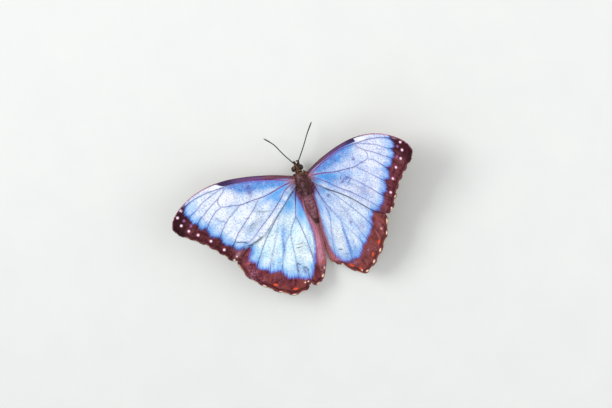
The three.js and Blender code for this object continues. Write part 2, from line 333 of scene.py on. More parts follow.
HEAD = np.array(HEAD_FROM_HINGE)
skin_pieces = [thorax, abdomen, ball(HEAD, (1.68, 1.85, 1.95)),
               ball(HEAD + (0, 1.15, -0.75), (1.1, 0.95, 1.15))]
PALP = [(0.75, 1.4, -1.9), (0.9, 2.6, -1.75), (0.82, 3.1, -1.05), (0.65, 3.2, -0.35)]
FORELEG = [(0.8, -1.8, -3.2), (1.0, -0.5, -4.5), (0.95, 0.6, -4.65), (0.8, 1.45, -4.4)]
for side in (-1, 1):
    mirror = np.array([side, 1, 1])
    palp = smooth_path(HEAD + np.array(PALP) * mirror, 14)
    skin_pieces.append(rod(to_scene(palp), np.linspace(0.36, 0.2, 14)))
    foreleg = smooth_path(np.array(FORELEG) * mirror + (BODY_SHIFT, 0, 0), 18)
    skin_pieces.append(rod(to_scene(foreleg), np.linspace(0.36, 0.22, 18)))
    skin_pieces.append(ball((2.5 * side - 0.15, 0.6, 0.6), (0.85, 1.1, 0.45), (0, -0.5 * side, 0)))
    skin_pieces.append(ball((2.9 * side, -1.2, -0.1), (0.8, 1.6, 0.3), (0, -DIHEDRAL * side, 0)))
    skin_pieces.append(ball((2.7 * side, -4.1, -0.85), (0.8, 1.6, 0.3), (0, -DIHEDRAL * side, 0)))

body = joined("body_skin", skin_pieces)
remesh = body.modifiers.new("one_skin", "REMESH")
remesh.mode = "VOXEL"
remesh.voxel_size = 0.13 * MM
bpy.ops.object.modifier_apply(modifier="one_skin")
relax = body.modifiers.new("relax", "SMOOTH")
relax.factor = 0.6
relax.iterations = 8
bpy.ops.object.modifier_apply(modifier="relax")
bpy.ops.object.shade_smooth()


def points_of(piece):
    flat = np.empty(len(piece.data.vertices) * 3, np.float32)
    piece.data.vertices.foreach_get("co", flat)
    return flat.reshape(-1, 3).astype(float)


def from_hinge(points):
    return (points - np.array(hinge)) / MM


def keep_value(piece, name, values):
    """Stores a number, or a vector, for each point of a piece, for its material to read."""
    values = np.asarray(values, np.float32)
    kind, key = ("FLOAT", "value") if values.ndim == 1 else ("FLOAT_VECTOR", "vector")
    piece.data.attributes.new(name, kind, "POINT").data.foreach_set(key, values.ravel())


def soft(x, low, high):
    t = np.clip((x - low) / (high - low), 0, 1)
    return t * t * (3 - 2 * t)


def body_marks(spots):
    """Where the body's colours lie, from places in millimetres about the hinges' middle."""
    x, y, z = spots.T
    middle = -0.3 - 0.45 * soft(-y, 5, 14)
    abdomen = soft(-y, 8.6, 10.0)
    head = soft(y, 1.2, 1.9)
    return {
        "abdomen": abdomen,
        "head": head,
        "tail_tip": soft(-y, 19.9, 21.3),
        "stripe": np.exp(-(((x - middle) / 0.9) ** 2)) * soft(z, 1.0, 2.4) * (1 - head),
        "flank": np.clip(np.abs(x - middle) / 3.4, 0, 1),
        "belly": soft(-z, 0.4, 2.2),
        "collar": np.exp(-(((y - 1.0) / 0.8) ** 2)) + np.exp(-(((y + 5.4) / 0.6) ** 2)) * soft(-x, 1.4,
                                                                                               2.2),
        "side": np.exp(-(((np.abs(x - middle) - 1.7) / 0.55) ** 2)) * soft(z, 0.2, 1.6) * (1 - head),
        "shoulder": soft(np.abs(x + 0.2), 2.5, 3.4) * (1 - abdomen) * (1 - soft(y, -0.3, 0.6)),
        "ring": 0.5 + 0.5 * np.cos(2 * pi * (y + 22.6) / 1.79),
    }


def body_colour(finish, root):
    """The fur's colour: maroon brown, mauve on the abdomen, near black on the head and tail tip."""
    patch = finish.noise(root, 0.8, 4.0)
    fine = finish.noise(root, 3.5, 2.0)
    gold = finish.noise(root, 1.7, 2.0, 0.7)
    reading = finish.reading
    thorax_fur = finish.mix(patch.rise(0.42, 0.56), paint("32120F"), paint("884A4E"))
    thorax_fur = finish.mix(reading("stripe") * patch.rise(0.4, 0.54) * 0.85, thorax_fur, paint("A27C90"))
    thorax_fur = finish.mix(reading("side") * 0.7, thorax_fur, paint("32121A"))
    thorax_fur = finish.mix(gold.rise(0.56, 0.62) * 0.6, thorax_fur, paint("B27E58"))
    shoulder = finish.mix(fine.rise(0.42, 0.58), paint("7A3A4A"), paint("D09A9E"))
    thorax_fur = finish.mix(reading("shoulder") * 0.9, thorax_fur, shoulder)
    back = finish.mix(patch.rise(0.36, 0.62), paint("925060"), paint("C8909E"))
    back = finish.mix(reading("flank").rise(0.5, 0.95) * 0.6, back, paint("6E3440"))
    back = finish.mix(reading("ring").rise(0.7, 1.0) * 0.6, back, paint("58262F"))
    thorax_fur = finish.mix(reading("collar") * gold.rise(0.48, 0.55) * 0.9, thorax_fur, paint("C69A62"))
    face = finish.mix(fine.rise(0.5, 0.7), paint("1C0B0A"), paint("43201A"))
    face = finish.mix(gold.rise(0.54, 0.6) * 0.9, face, paint("D2A066"))
    coat = finish.mix(reading("abdomen"), thorax_fur, back)
    coat = finish.mix(reading("tail_tip"), coat, paint("240C10"))
    coat = finish.mix(reading("head"), coat, face)
    coat = finish.mix(reading("belly") * 0.6, coat, paint("5B3F39"))
    return coat


skin_spots = from_hinge(points_of(body))
keep_value(body, "root", skin_spots)
for mark, amount in body_marks(skin_spots).items():
    keep_value(body, mark, amount)
skin_finish = Finish("skin_under_fur")
skin_root = skin_finish.place("root")
skin_finish.set(Base_Color=body_colour(skin_finish, skin_root), Roughness=0.75)
skin_finish.bump(skin_finish.noise(skin_finish.spaced(skin_root, 9, 2.5, 9), 1.4), 0.12 * MM)
body.data.materials.append(skin_finish.material)
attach(body, "root")
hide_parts("thorax", "abdomen", "head", "palp_left", "palp_right", "foreleg_left", "foreleg_right")


# ---- Eyes: a hard, glossy, faceted dome on each side of the head.
EYE_RADII = (1.07, 1.32, 1.37)
eye_finish = Finish("faceted_eye")
eye_place = eye_finish.add("ShaderNodeTexCoord", {}, output="Object")
facets = eye_finish.add("ShaderNodeTexVoronoi", {"feature": "F1"}, eye_place, Scale=11000.0)
cloud = eye_finish.noise(eye_place, 900.0, 2.0)
eye_base = eye_finish.mix(cloud.rise(0.4, 0.7), paint("160A0C"), paint("30181C"))
# Small purple patches on the dark eye are painted glints.
eye_finish.set(Base_Color=eye_finish.mix(cloud.rise(0.66, 0.74), eye_base, paint("4B3460")), Roughness=0.22,
               Specular_IOR_Level=0.3, Coat_Weight=0.15, Coat_Roughness=0.12)
eye_finish.bump(facets, 0.02 * MM, 0.5)
for side, node in ((1, "eye_right"), (-1, "eye_left")):
    low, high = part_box(node)
    eye = ball(from_hinge(np.array((low + high) / 2)), EYE_RADII)
    eye.name = f"{node}_dome"
    bpy.ops.object.shade_smooth()
    eye.data.materials.append(eye_finish.material)
    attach(eye, "root")
    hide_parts(node)


# ---- Antennae: thin shafts of short rings of dark chitin, each with a slender club at its end,
# ---- set in small sockets on top of the head.
ANTENNAE = {
    "right": [(0.75, 1.45, 1.05), (1.05, 1.95, 1.0), (6.5, 8.4, 1.4), (10.4, 13.8, 0.8),
              (13.8, 18.2, -0.7)],
    "left": [(-0.4, 1.6, 1.05), (-0.35, 2.25, 1.0), (-3.65, 8.3, 1.6), (-6.6, 13.7, 1.0),
             (-10.8, 17.8, -0.7)],
}
SHAFT_RADIUS = 0.25
CLUB_RADIUS = 0.31
SHAFT_RINGS = 46
horn_finish = Finish("ringed_chitin")
share = horn_finish.reading("share")
ringing = horn_finish.reading("ringing")
horn_colour = horn_finish.mix(ringing.rise(0.2, 0.8), paint("140806"), paint("2E1C18"))
horn_colour = horn_finish.mix(share.rise(0.72, 0.8), horn_colour, paint("2E1C19"))
horn_finish.set(Base_Color=horn_finish.mix(share.rise(0.95, 0.99), horn_colour, paint("7A4630")),
                Roughness=0.5,
                Specular_IOR_Level=0.25)
speck = horn_finish.noise(horn_finish.add("ShaderNodeTexCoord", {}, output="Object"), 9000.0)
horn_finish.bump(speck, 0.03 * MM, 0.6)

for side, corners in ANTENNAE.items():
    steps = SHAFT_RINGS * 4 + 1
    path = smooth_path(HEAD + np.array(corners), steps)
    t = np.linspace(0, 1, steps)
    ring = np.cos(2 * pi * SHAFT_RINGS * t)
    radius = SHAFT_RADIUS + (CLUB_RADIUS - SHAFT_RADIUS) * soft(t, 0.72, 0.88)
    radius = radius * (1 - 0.75 * soft(t, 0.93, 1.0) ** 2) * (1 + 0.05 * ring)
    radius = radius * (1 + 0.7 * np.exp(-((t / 0.02) ** 2)))
    antenna = rod(to_scene(path), radius, 10)
    antenna.name = f"feeler_{side}"
    spots = points_of(antenna)
    nearest = np.argmin(((spots[:, None] - to_scene(path)[None]) ** 2).sum(2), axis=1)
    keep_value(antenna, "share", t[nearest])
    keep_value(antenna, "ringing", 0.5 + 0.5 * ring[nearest])
    bpy.ops.object.shade_smooth()
    antenna.data.materials.append(horn_finish.material)
    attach(antenna, "root")
    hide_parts(f"antenna_{side}")


# ---- Tongue: a thin grooved tube, coiled like a watch spring under the face.
TONGUE_TURNS = 2.4
chitin = Finish("satin_chitin")
chitin_place = chitin.add("ShaderNodeTexCoord", {}, output="Object")
chitin_patch = chitin.noise(chitin_place, 1200.0, 4.0)
chitin.set(Base_Color=chitin.mix(chitin_patch.rise(0.35, 0.7), paint("2B1A17"), paint("63463C")),
           Roughness=0.42)
chitin.bump(chitin.noise(chitin_place, 14000.0, 2.0), 0.02 * MM, 0.7)
low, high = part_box("proboscis")
coil_middle = from_hinge(np.array((low + high) / 2))
t = np.linspace(0, 1, 90)
coil_angle = radians(100) - TONGUE_TURNS * 2 * pi * t
coil_radius = 1.35 - 1.05 * t
coil = coil_middle + np.column_stack([0.04 * np.sin(9 * t), coil_radius * np.cos(coil_angle),
                                      coil_radius * np.sin(coil_angle)])
coil = np.vstack([coil[0] + (0, 0.1, 1.1), coil[0] + (0, 0.06, 0.45), coil])
t = np.r_[0, 0, t]
tongue = rod(to_scene(coil), 0.15 - 0.05 * t, 8)
tongue.name = "tongue"
bpy.ops.object.shade_smooth()
tongue.data.materials.append(chitin.material)
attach(tongue, "root")
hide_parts("proboscis")


# ---- Walking legs: femur, tibia and a foot of five short joints, with spurs and paired claws.
# ---- The butterfly stands on the undersides of its feet.
FLOOR_LEVEL = -8.0
SOLE = 0.2
LEGS = {
    "mid": [(1.3, -3.0, -3.2), (3.2, -2.5, -4.6), (7.4, -1.4, -2.4), (9.0, -0.7, -4.8),
            (10.6, 0.1, FLOOR_LEVEL + SOLE + 0.1), (12.2, 0.5, FLOOR_LEVEL + SOLE),
            (14.2, 0.9, FLOOR_LEVEL + SOLE), (16.0, 1.1, FLOOR_LEVEL + SOLE)],
    "hind": [(1.3, -5.2, -3.4), (2.8, -6.8, -4.9), (5.9, -11.2, -3.6), (7.4, -14.2, -5.7),
             (8.6, -17.0, FLOOR_LEVEL + SOLE + 0.1), (9.3, -18.8, FLOOR_LEVEL + SOLE),
             (10.0, -21.2, FLOOR_LEVEL + SOLE), (10.6, -23.6, FLOOR_LEVEL + SOLE)],
}
FOOT_JOINTS = 5
for pair, corners in LEGS.items():
    for side, word in ((1, "right"), (-1, "left")):
        line = np.array(corners) * (side, 1, 1) + (BODY_SHIFT, 0, 0)
        thigh = smooth_path(line[:3], 24)
        t = np.linspace(0, 1, 24)
        pieces = [rod(to_scene(thigh), 0.42 + 0.1 * np.sin(pi * t) - 0.16 * t, 10)]
        shin = smooth_path(line[2:5], 24)
        pieces.append(rod(to_scene(shin), 0.2 + 0.07 * t + 0.09 * np.exp(-((t / 0.08) ** 2)), 10))
        foot = smooth_path(line[4:], FOOT_JOINTS * 8 + 1)
        for i in range(FOOT_JOINTS):
            joint = foot[8 * i:8 * i + 9]
            t = np.linspace(0, 1, 9)
            pieces.append(rod(to_scene(joint), 0.13 + 0.06 * soft(t, 0.2, 0.9), 8))
        for i in range(3, 21, 3):
            for way in (-1, 1):
                start = shin[i]
                tip = start + (0.28 * way, 0.12, -0.42)
                pieces.append(rod(to_scene([start, (start + tip) / 2, tip]), [0.05, 0.035, 0.012], 4))
        onward = (foot[-1] - foot[-2]) / np.linalg.norm(foot[-1] - foot[-2])
        for way in (-1, 1):
            spread = np.array([-onward[1], onward[0], 0]) * 0.22 * way
            claw = [foot[-1], foot[-1] + onward * 0.3 + spread + (0, 0, 0.05),
                    foot[-1] + onward * 0.5 + spread
                    + (0, 0, -0.13)]
            pieces.append(rod(to_scene(smooth_path(claw, 6)), [0.08, 0.07, 0.06, 0.05, 0.035, 0.015], 6))
        leg = joined(f"{pair}leg_{word}_chitin", pieces)
        spots = points_of(leg)
        spots[:, 2] = np.maximum(spots[:, 2], 0)
        leg.data.vertices.foreach_set("co", spots.astype(np.float32).ravel())
        bpy.ops.object.shade_smooth()
        leg.data.materials.append(chitin.material)
        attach(leg, "root")
        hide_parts(f"{pair}leg_{word}")


# ---- Wings: membranes stretched between a front edge, a scalloped outer edge, a rear edge and the
# ---- root, with a little camber. Plan places are [outward, forward] millimetres from the forewing
# ---- hinge. Each wing has its icy blue upper side, its mottled brown underside and a fine rim.
HINGE_HALF_WIDTH = 4.0
HINDWING_SWING = radians(1.4)
MEMBRANE = 0.16
BAYS = 7
ACROSS = 196
ALONG = 140
FOREWING_RIGHT = {
    "front": [(-1.2, 0.6), (6.5, 3.8), (12.8, 5.9), (21.5, 8.2), (30.5, 9.6), (39, 9.5), (47, 7.7),
              (54.3, 4.0), (58.6, 0.1), (60, -3.4)],
    "outer": [(60, -3.4), (58.3, -6.8), (52, -11.9), (47, -16.5), (42.4, -22), (39.2, -26), (35.6, -28.2)],
    "rear": [(-1.1, -3.2), (3.2, -6.4), (7.1, -9.5), (11.2, -11.8), (15.3, -14.3), (19.4, -17.4),
             (23.5, -21.2), (27.4, -24.8), (31.6, -27.3), (35.6, -28.2)],
    "scallop": 0.45, "bow": 1.1, "camber": 0.8, "fold": 0.0, "drop": 0.0, "lean": 0.0, "dents": [],
}
FOREWING_LEFT = {
    **FOREWING_RIGHT,
    "rear": [(-1.1, -3.2), (4.0, -6.5), (8.4, -10.3), (12.9, -13.6), (17.9, -17.5), (21.3, -20.1),
             (24.8, -21.8), (28.5, -22.7), (32.2, -24.2), (35.6, -28.2)],
}
HINDWING_FRONT = [(-1.1, -2.2), (10, -4.2), (20, -9.8), (28.5, -16.5), (33.8, -23), (35.6, -29.4)]
HINDWING_EDGE = [(35.6, -29.4), (33.3, -36.2), (28, -42.4), (21.4, -47.8), (15, -51.2)]
HINDWING = {
    "front": HINDWING_FRONT, "scallop": 0.5, "bow": 0.6, "camber": 1.0, "fold": 2.0, "drop": 0.8,
}
HINDWING_LEFT = {
    **HINDWING,
    "outer": [*HINDWING_EDGE, (9.3, -50.8), (4, -50), (-0.2, -46.4), (-2.6, -41.5)],
    "rear": [(-1.0, -5.8), (-1.5, -8.6), (-2.0, -10.6), (-2.0, -13), (-2.3, -16.6), (-3.1, -19.8),
             (-4.1, -23), (-4.6, -26), (-4.7, -30), (-4.2, -34), (-3.4, -38.5), (-2.6, -41.5)],
    "lean": 0.9, "dents": [(0.728, 2.6, 0.022)],
}
HINDWING_RIGHT = {
    **HINDWING,
    "outer": [*HINDWING_EDGE, (9.3, -50.8), (4, -50), (-1.5, -47.5), (-6.4, -42.2)],
    "rear": [(-1.0, -5.8), (-2.2, -8.4), (-3.2, -10.4), (-3.6, -13), (-4.1, -17), (-4.8, -20),
             (-5.6, -23), (-6.1, -26), (-6.5, -30), (-6.7, -34), (-6.8, -38.5), (-6.4, -42.2)],
    "lean": -1.5, "dents": [(0.81, 4.3, 0.13), (0.18, 0.5, 0.12)],
}
FOLD_START = 0.84

# Veins, from root to edge: name, plan places, radius at the root end and at the outer end.
FOREWING_VEINS = [
    ("radius", [(-1, -0.9), (2, -0.3), (10.2, 2.9), (20.1, 5.8), (27, 6.7), (31.5, 6.9), (40, 7.0),
                (46.3, 6.1),
                (50.5, 4.7), (56.5, 1.5)], 0.30, 0.17),
    ("upper_cell", [(32, 6.9), (34.5, 6.2), (38.3, 5.1), (43.1, 3.4), (47, 1.0), (50.9, -0.9),
                    (57.6, -6.6)],
     0.13, 0.15),
    ("second_median", [(31.5, 6.4), (32.6, 4.9), (35.7, 2.8), (39.5, 0.9), (44, -1.8), (47.5, -4.1),
                       (54.2, -10.2)], 0.16, 0.14),
]
FOREWING_VEINS_RIGHT = [
    *FOREWING_VEINS,
    ("third_median", [(35.6, -1.4), (38.5, -2.7), (41.5, -5.4), (44.8, -8.9), (50, -13.8)], 0.16, 0.14),
    ("cell_end", [(35.2, 3.0), (36.1, 1.4), (36.1, -0.2), (35.5, -1.5)], 0.13, 0.12),
    ("cubitus", [(-1, -1.3), (1.5, -1.3), (8, -1.8), (15.3, -2.8), (21.5, -3.0), (27, -3.2), (30.6, -2.4),
                 (35.4, -1.5)], 0.32, 0.17),
    ("first_cubital", [(27.2, -3.1), (31.4, -6), (36, -9.8), (40.6, -13.7), (46, -17.8)], 0.11, 0.15),
    ("second_cubital", [(17.4, -3.2), (22.5, -7.5), (27.1, -10.9), (31.8, -15), (36.6, -19.4),
                        (41.9, -22.4)],
     0.10, 0.16),
    ("anal", [(-1, -1.9), (1.6, -2.4), (5.2, -4.2), (9, -6.4), (12.5, -9), (16.5, -11.6), (20.5, -14),
              (25, -17.6),
              (28.5, -20.6), (31.5, -23.6), (34.6, -26.4)], 0.24, 0.15),
]
FOREWING_VEINS_LEFT = [
    *FOREWING_VEINS,
    ("third_median", [(35.6, -1.4), (38.8, -2.6), (41.8, -4.9), (44.4, -7.7), (47.6, -11.3), (51.2, -12.6)],
     0.16, 0.14),
    ("cell_end", [(35.4, 2.9), (36.3, 1.6), (36.2, -0.2), (35.5, -1.5)], 0.16, 0.13),
    ("cubitus", [(-1, -1.3), (1.5, -1.3), (6, -1.7), (10, -2.5), (15.3, -3.3), (21.5, -3.2), (27, -3.3),
                 (30.6, -2.4),
                 (35.4, -1.5)], 0.32, 0.17),
    ("first_cubital", [(27.2, -3.3), (31.6, -5.8), (35.1, -8.1), (38, -10.8), (40.6, -14), (45, -18.2)],
     0.13, 0.16),
    ("second_cubital", [(18.6, -4.0), (21.9, -7.2), (24.7, -9.4), (27.7, -11.8), (30.5, -13.9),
                        (33.1, -16.1),
                        (35.8, -19.2), (40.6, -22.6)], 0.14, 0.17),
    ("anal", [(-1, -1.9), (1.6, -2.2), (5.4, -3.9), (8, -6.3), (11.5, -9.3), (14.9, -11.9), (17.6, -13.7),
              (21.2, -15.9),
              (24.4, -18.2), (27.6, -20.2), (29.6, -20.9)], 0.26, 0.14),
]
HINDWING_VEINS_LEFT = [
    ("stem", [(-0.6, -4.2), (1.2, -6.9), (2.8, -12.0), (4.3, -16.6), (5.3, -18.4), (7.7, -21.3),
              (9.2, -24.6)], 0.26, 0.13),
    ("outer_fork", [(9.0, -23.8), (10.6, -24.9), (13.9, -29.1), (16.7, -35.3), (18.4, -39.5),
                    (21.3, -46.2)],
     0.10, 0.12),
    ("inner_fork", [(9.0, -23.6), (9.5, -26.5), (9.9, -29.6), (10.2, -33.8), (11.2, -40.6), (13.4, -50.0)],
     0.12, 0.11),
    ("first_anal", [(4.3, -17.3), (3.8, -20.0), (3.3, -24.6), (2.9, -29), (2.8, -36.1), (3.4, -43),
                    (4.5, -48.0)],
     0.19, 0.08),
    ("sector", [(2, -6), (9.8, -12.2), (18.8, -20.9), (22.4, -25.0), (25.2, -28.7), (27.9, -32.6),
                (31.2, -37.0)],
     0.17, 0.16),
    ("second_median", [(11.5, -14.5), (17.5, -26), (21.8, -33.5), (23.8, -38), (26.6, -42.0)], 0.08, 0.12),
]
HINDWING_VEINS_RIGHT = [
    ("stem", [(-0.6, -4.6), (0.8, -8.0), (2.2, -12.2), (3.8, -15.6), (6, -19.4), (8.7, -24)], 0.24, 0.14),
    ("outer_fork", [(8.7, -24), (9.8, -26), (13, -30.5), (17, -37.0), (20.5, -45.4)], 0.08, 0.12),
    ("inner_fork", [(8.7, -24), (9.3, -27), (9.0, -33), (8.5, -38), (8.2, -46.5)], 0.08, 0.12),
    ("first_anal", [(3.1, -17.2), (3.7, -19.5), (3.6, -23), (2.4, -27), (0.2, -36), (-1.0, -43.0)], 0.18,
     0.08),
    ("sector", [(2, -6), (9.8, -12.2), (17.5, -20.5), (20.5, -24), (22.7, -27), (24.8, -30.4),
                (28.6, -36.3)],
     0.12, 0.16),
    ("second_median", [(10.5, -14.5), (15.5, -26), (18.6, -33.5), (20.8, -38), (24.4, -41.2)], 0.08, 0.12),
]


def edge_curve(corners):
    """A smooth curve through plan places, as a function of the share of its length."""
    p = np.array(corners, float)
    n = len(p) - 1
    p = np.vstack([p[0], p, p[-1]])
    t = np.linspace(0, n, 1201)
    i = np.minimum(t.astype(int), n - 1)
    w = (t - i)[:, None]
    a, b, c, d = p[i], p[i + 1], p[i + 2], p[i + 3]
    leave, reach = (c - a) / 2, (d - b) / 2
    line = ((2 * b - 2 * c + leave + reach) * w**3 + (3 * c - 3 * b - 2 * leave - reach) * w**2
            + leave * w + b)
    length = np.r_[0, np.cumsum(np.linalg.norm(np.diff(line, axis=0), axis=1))]
    length /= length[-1]
    return lambda s: np.stack([np.interp(s, length, line[:, k]) for k in (0, 1)], -1)


def wing_places(wing, u, v):
    """Plan place and height for u, front edge to rear edge, and v, root to outer edge."""
    front, outer, rear = (edge_curve(wing[edge]) for edge in ("front", "outer", "rear"))
    root_front, root_rear, tip_front, tip_rear = front(0.0), rear(0.0), front(1.0), rear(1.0)
    edge = outer(u)
    inward = (root_front + root_rear) / 2 - edge
    inward /= np.linalg.norm(inward, axis=-1, keepdims=True)
    depth = wing["scallop"] * np.sin(pi * BAYS * u) ** 2
    for at, deep, width in wing["dents"]:
        depth = depth + deep * np.exp(-(((u - at) / width) ** 2))
    edge = edge + inward * depth[..., None]
    s, t = u[..., None], v[..., None]
    plan = ((1 - s) * front(v) + s * rear(v) + t * edge
            + (1 - t) * (root_front + (root_rear - root_front) * s))
    plan -= ((1 - s) * (1 - t) * root_front + s * (1 - t) * root_rear + (1 - s) * t * tip_front
             + s * t * tip_rear)
    height = wing["bow"] * np.sin(pi * v) + wing["camber"] * np.sin(pi * u) * v - wing["drop"]
    height = height - wing["fold"] * soft(u, FOLD_START, 1) * soft(v, 0, 0.25)
    plan[..., 0] += wing["lean"] * soft(-plan[..., 1], 8, 30) * soft(plan[..., 0], 0, 20)
    return np.concatenate([plan, height[..., None]], -1)


def wing_to_scene(places, side, hind):
    """From a wing's plan and height to its raised place on the body."""
    x, y, z = places.T * np.array([[side], [1], [1]])
    if hind:
        c, s = cos(HINDWING_SWING), sin(HINDWING_SWING)
        x, y = x * c + y * s, y * c - x * s
    across = x * cos(DIHEDRAL) - side * z * sin(DIHEDRAL)
    up = side * x * sin(DIHEDRAL) + z * cos(DIHEDRAL)
    return to_scene(np.column_stack([across + HINGE_HALF_WIDTH * side, y, up]))


def distance_to_line(spots, line):
    """Distance from plan places to a line of straight pieces."""
    nearest = np.full(len(spots), 1e9)
    for a, b in zip(line, line[1:]):
        along = np.clip(((spots - a) @ (b - a)) / max(1e-9, (b - a) @ (b - a)), 0, 1)
        nearest = np.minimum(nearest, np.linalg.norm(spots - a - along[:, None] * (b - a), axis=1))
    return nearest


def inside(spots, outline):
    """Which plan places lie inside a closed outline."""
    odd = np.zeros(len(spots), bool)
    x, y = spots.T
    for (ax, ay), (bx, by) in zip(outline, np.roll(outline, -1, axis=0)):
        crossing = (ay > y) != (by > y)
        odd ^= crossing & (x < (bx - ax) * (y - ay) / (by - ay + 1e-12) + ax)
    return odd


def clouds(spots, patches):
    """A sum of soft oval patches, each with a middle, half length, half width, turn and strength."""
    total = np.zeros(len(spots))
    for a, b, long, wide, angle, strength in patches:
        d = spots - (a, b)
        c, s = cos(radians(angle)), sin(radians(angle))
        p = (d[:, 0] * c + d[:, 1] * s) / long
        q = (d[:, 1] * c - d[:, 0] * s) / wide
        total += strength * np.exp(-(p * p + q * q))
    return np.clip(total, 0, 1)


# Where the blue ends, from the front edge round to the rear edge, and the marks of each wing.
BLUE_ENDS = {
    "forewing_left": [(33, 15), (46, 13), (51.5, 9), (51.3, 5.0), (52.4, 2.4), (52.7, 0.8), (51.3, -1.2),
                      (51.1, -2.8), (50.3, -4.6), (48.5, -5), (48.7, -6.8), (47.5, -8.4), (45.6, -8.2),
                      (45.3, -10.6), (44.4, -13.0), (42.6, -13.6), (40.7, -14.4), (40.5, -17.0),
                      (38.9, -19.1), (36.5, -20.2), (35.9, -22.0), (34.6, -22.7), (32.4, -22.8),
                      (30.6, -23.8), (28.8, -24.8)],
    "forewing_right": [(32, 15), (46, 13), (51.5, 9), (51.0, 5.0), (52.0, 1.8), (51.7, 0.2), (50.1, -0.4),
                       (50.5, -2.4), (49.7, -4), (48.1, -4.8), (47.7, -6.4), (46.5, -7.8), (43.9, -8),
                       (44.5, -10.4), (43.3, -13), (40.7, -13), (40.3, -15.6), (39.3, -18.2),
                       (36.9, -18.8), (36.5, -21.2), (34.9, -23), (32.9, -24.2), (31.7, -25.6),
                       (28.1, -25.6)],
    "hindwing_left": [(28.7, -20.0), (28.7, -25.5), (30.9, -28.1), (31.1, -29.9), (28.5, -31.7),
                      (28.7, -33.7), (27.5, -35.3), (24.3, -36.5), (23.6, -38.4), (21.1, -38.6),
                      (18.8, -38.9), (17.6, -41.2), (16.3, -43.3), (13.9, -43.9), (11.5, -44.5),
                      (10.3, -45.7), (6.9, -46.4), (5.3, -45.4), (4.1, -43.5), (2.4, -40.5), (1.2, -37.3),
                      (0.0, -34.1), (-0.8, -31.3), (-1.4, -28.1), (-1.6, -25), (-1.3, -21), (-0.6, -16.2),
                      (-0.1, -12.2), (0.6, -7)],
    "hindwing_right": [(27.8, -20.0), (27.8, -25.7), (26.0, -27.7), (25.6, -29.8), (24.6, -31.8),
                       (22.6, -34.0), (20.6, -35.6), (19.4, -37.6), (17.4, -38.2), (15.9, -40.1),
                       (14.2, -42.1), (12.4, -43.7), (9.4, -43.6), (6.6, -44.2), (3.6, -44.2), (1.4, -42.9),
                       (-1, -40.3), (-2.6, -37.1), (-3.3, -33.3), (-3.0, -28.1), (-2.5, -22.5),
                       (-1.8, -18.1), (-1.6, -10.1), (0.4, -7)],
}
BLUE_BEHIND = {
    "forewing_left": [(26, -32), (-10, -12), (-10, 15)],
    "forewing_right": [(26, -34), (-10, -12), (-10, 15)],
    "hindwing_left": [(0.5, -1), (10, 2), (28.7, -8)],
    "hindwing_right": [(0.5, -1), (10, 2), (27.8, -8)],
}
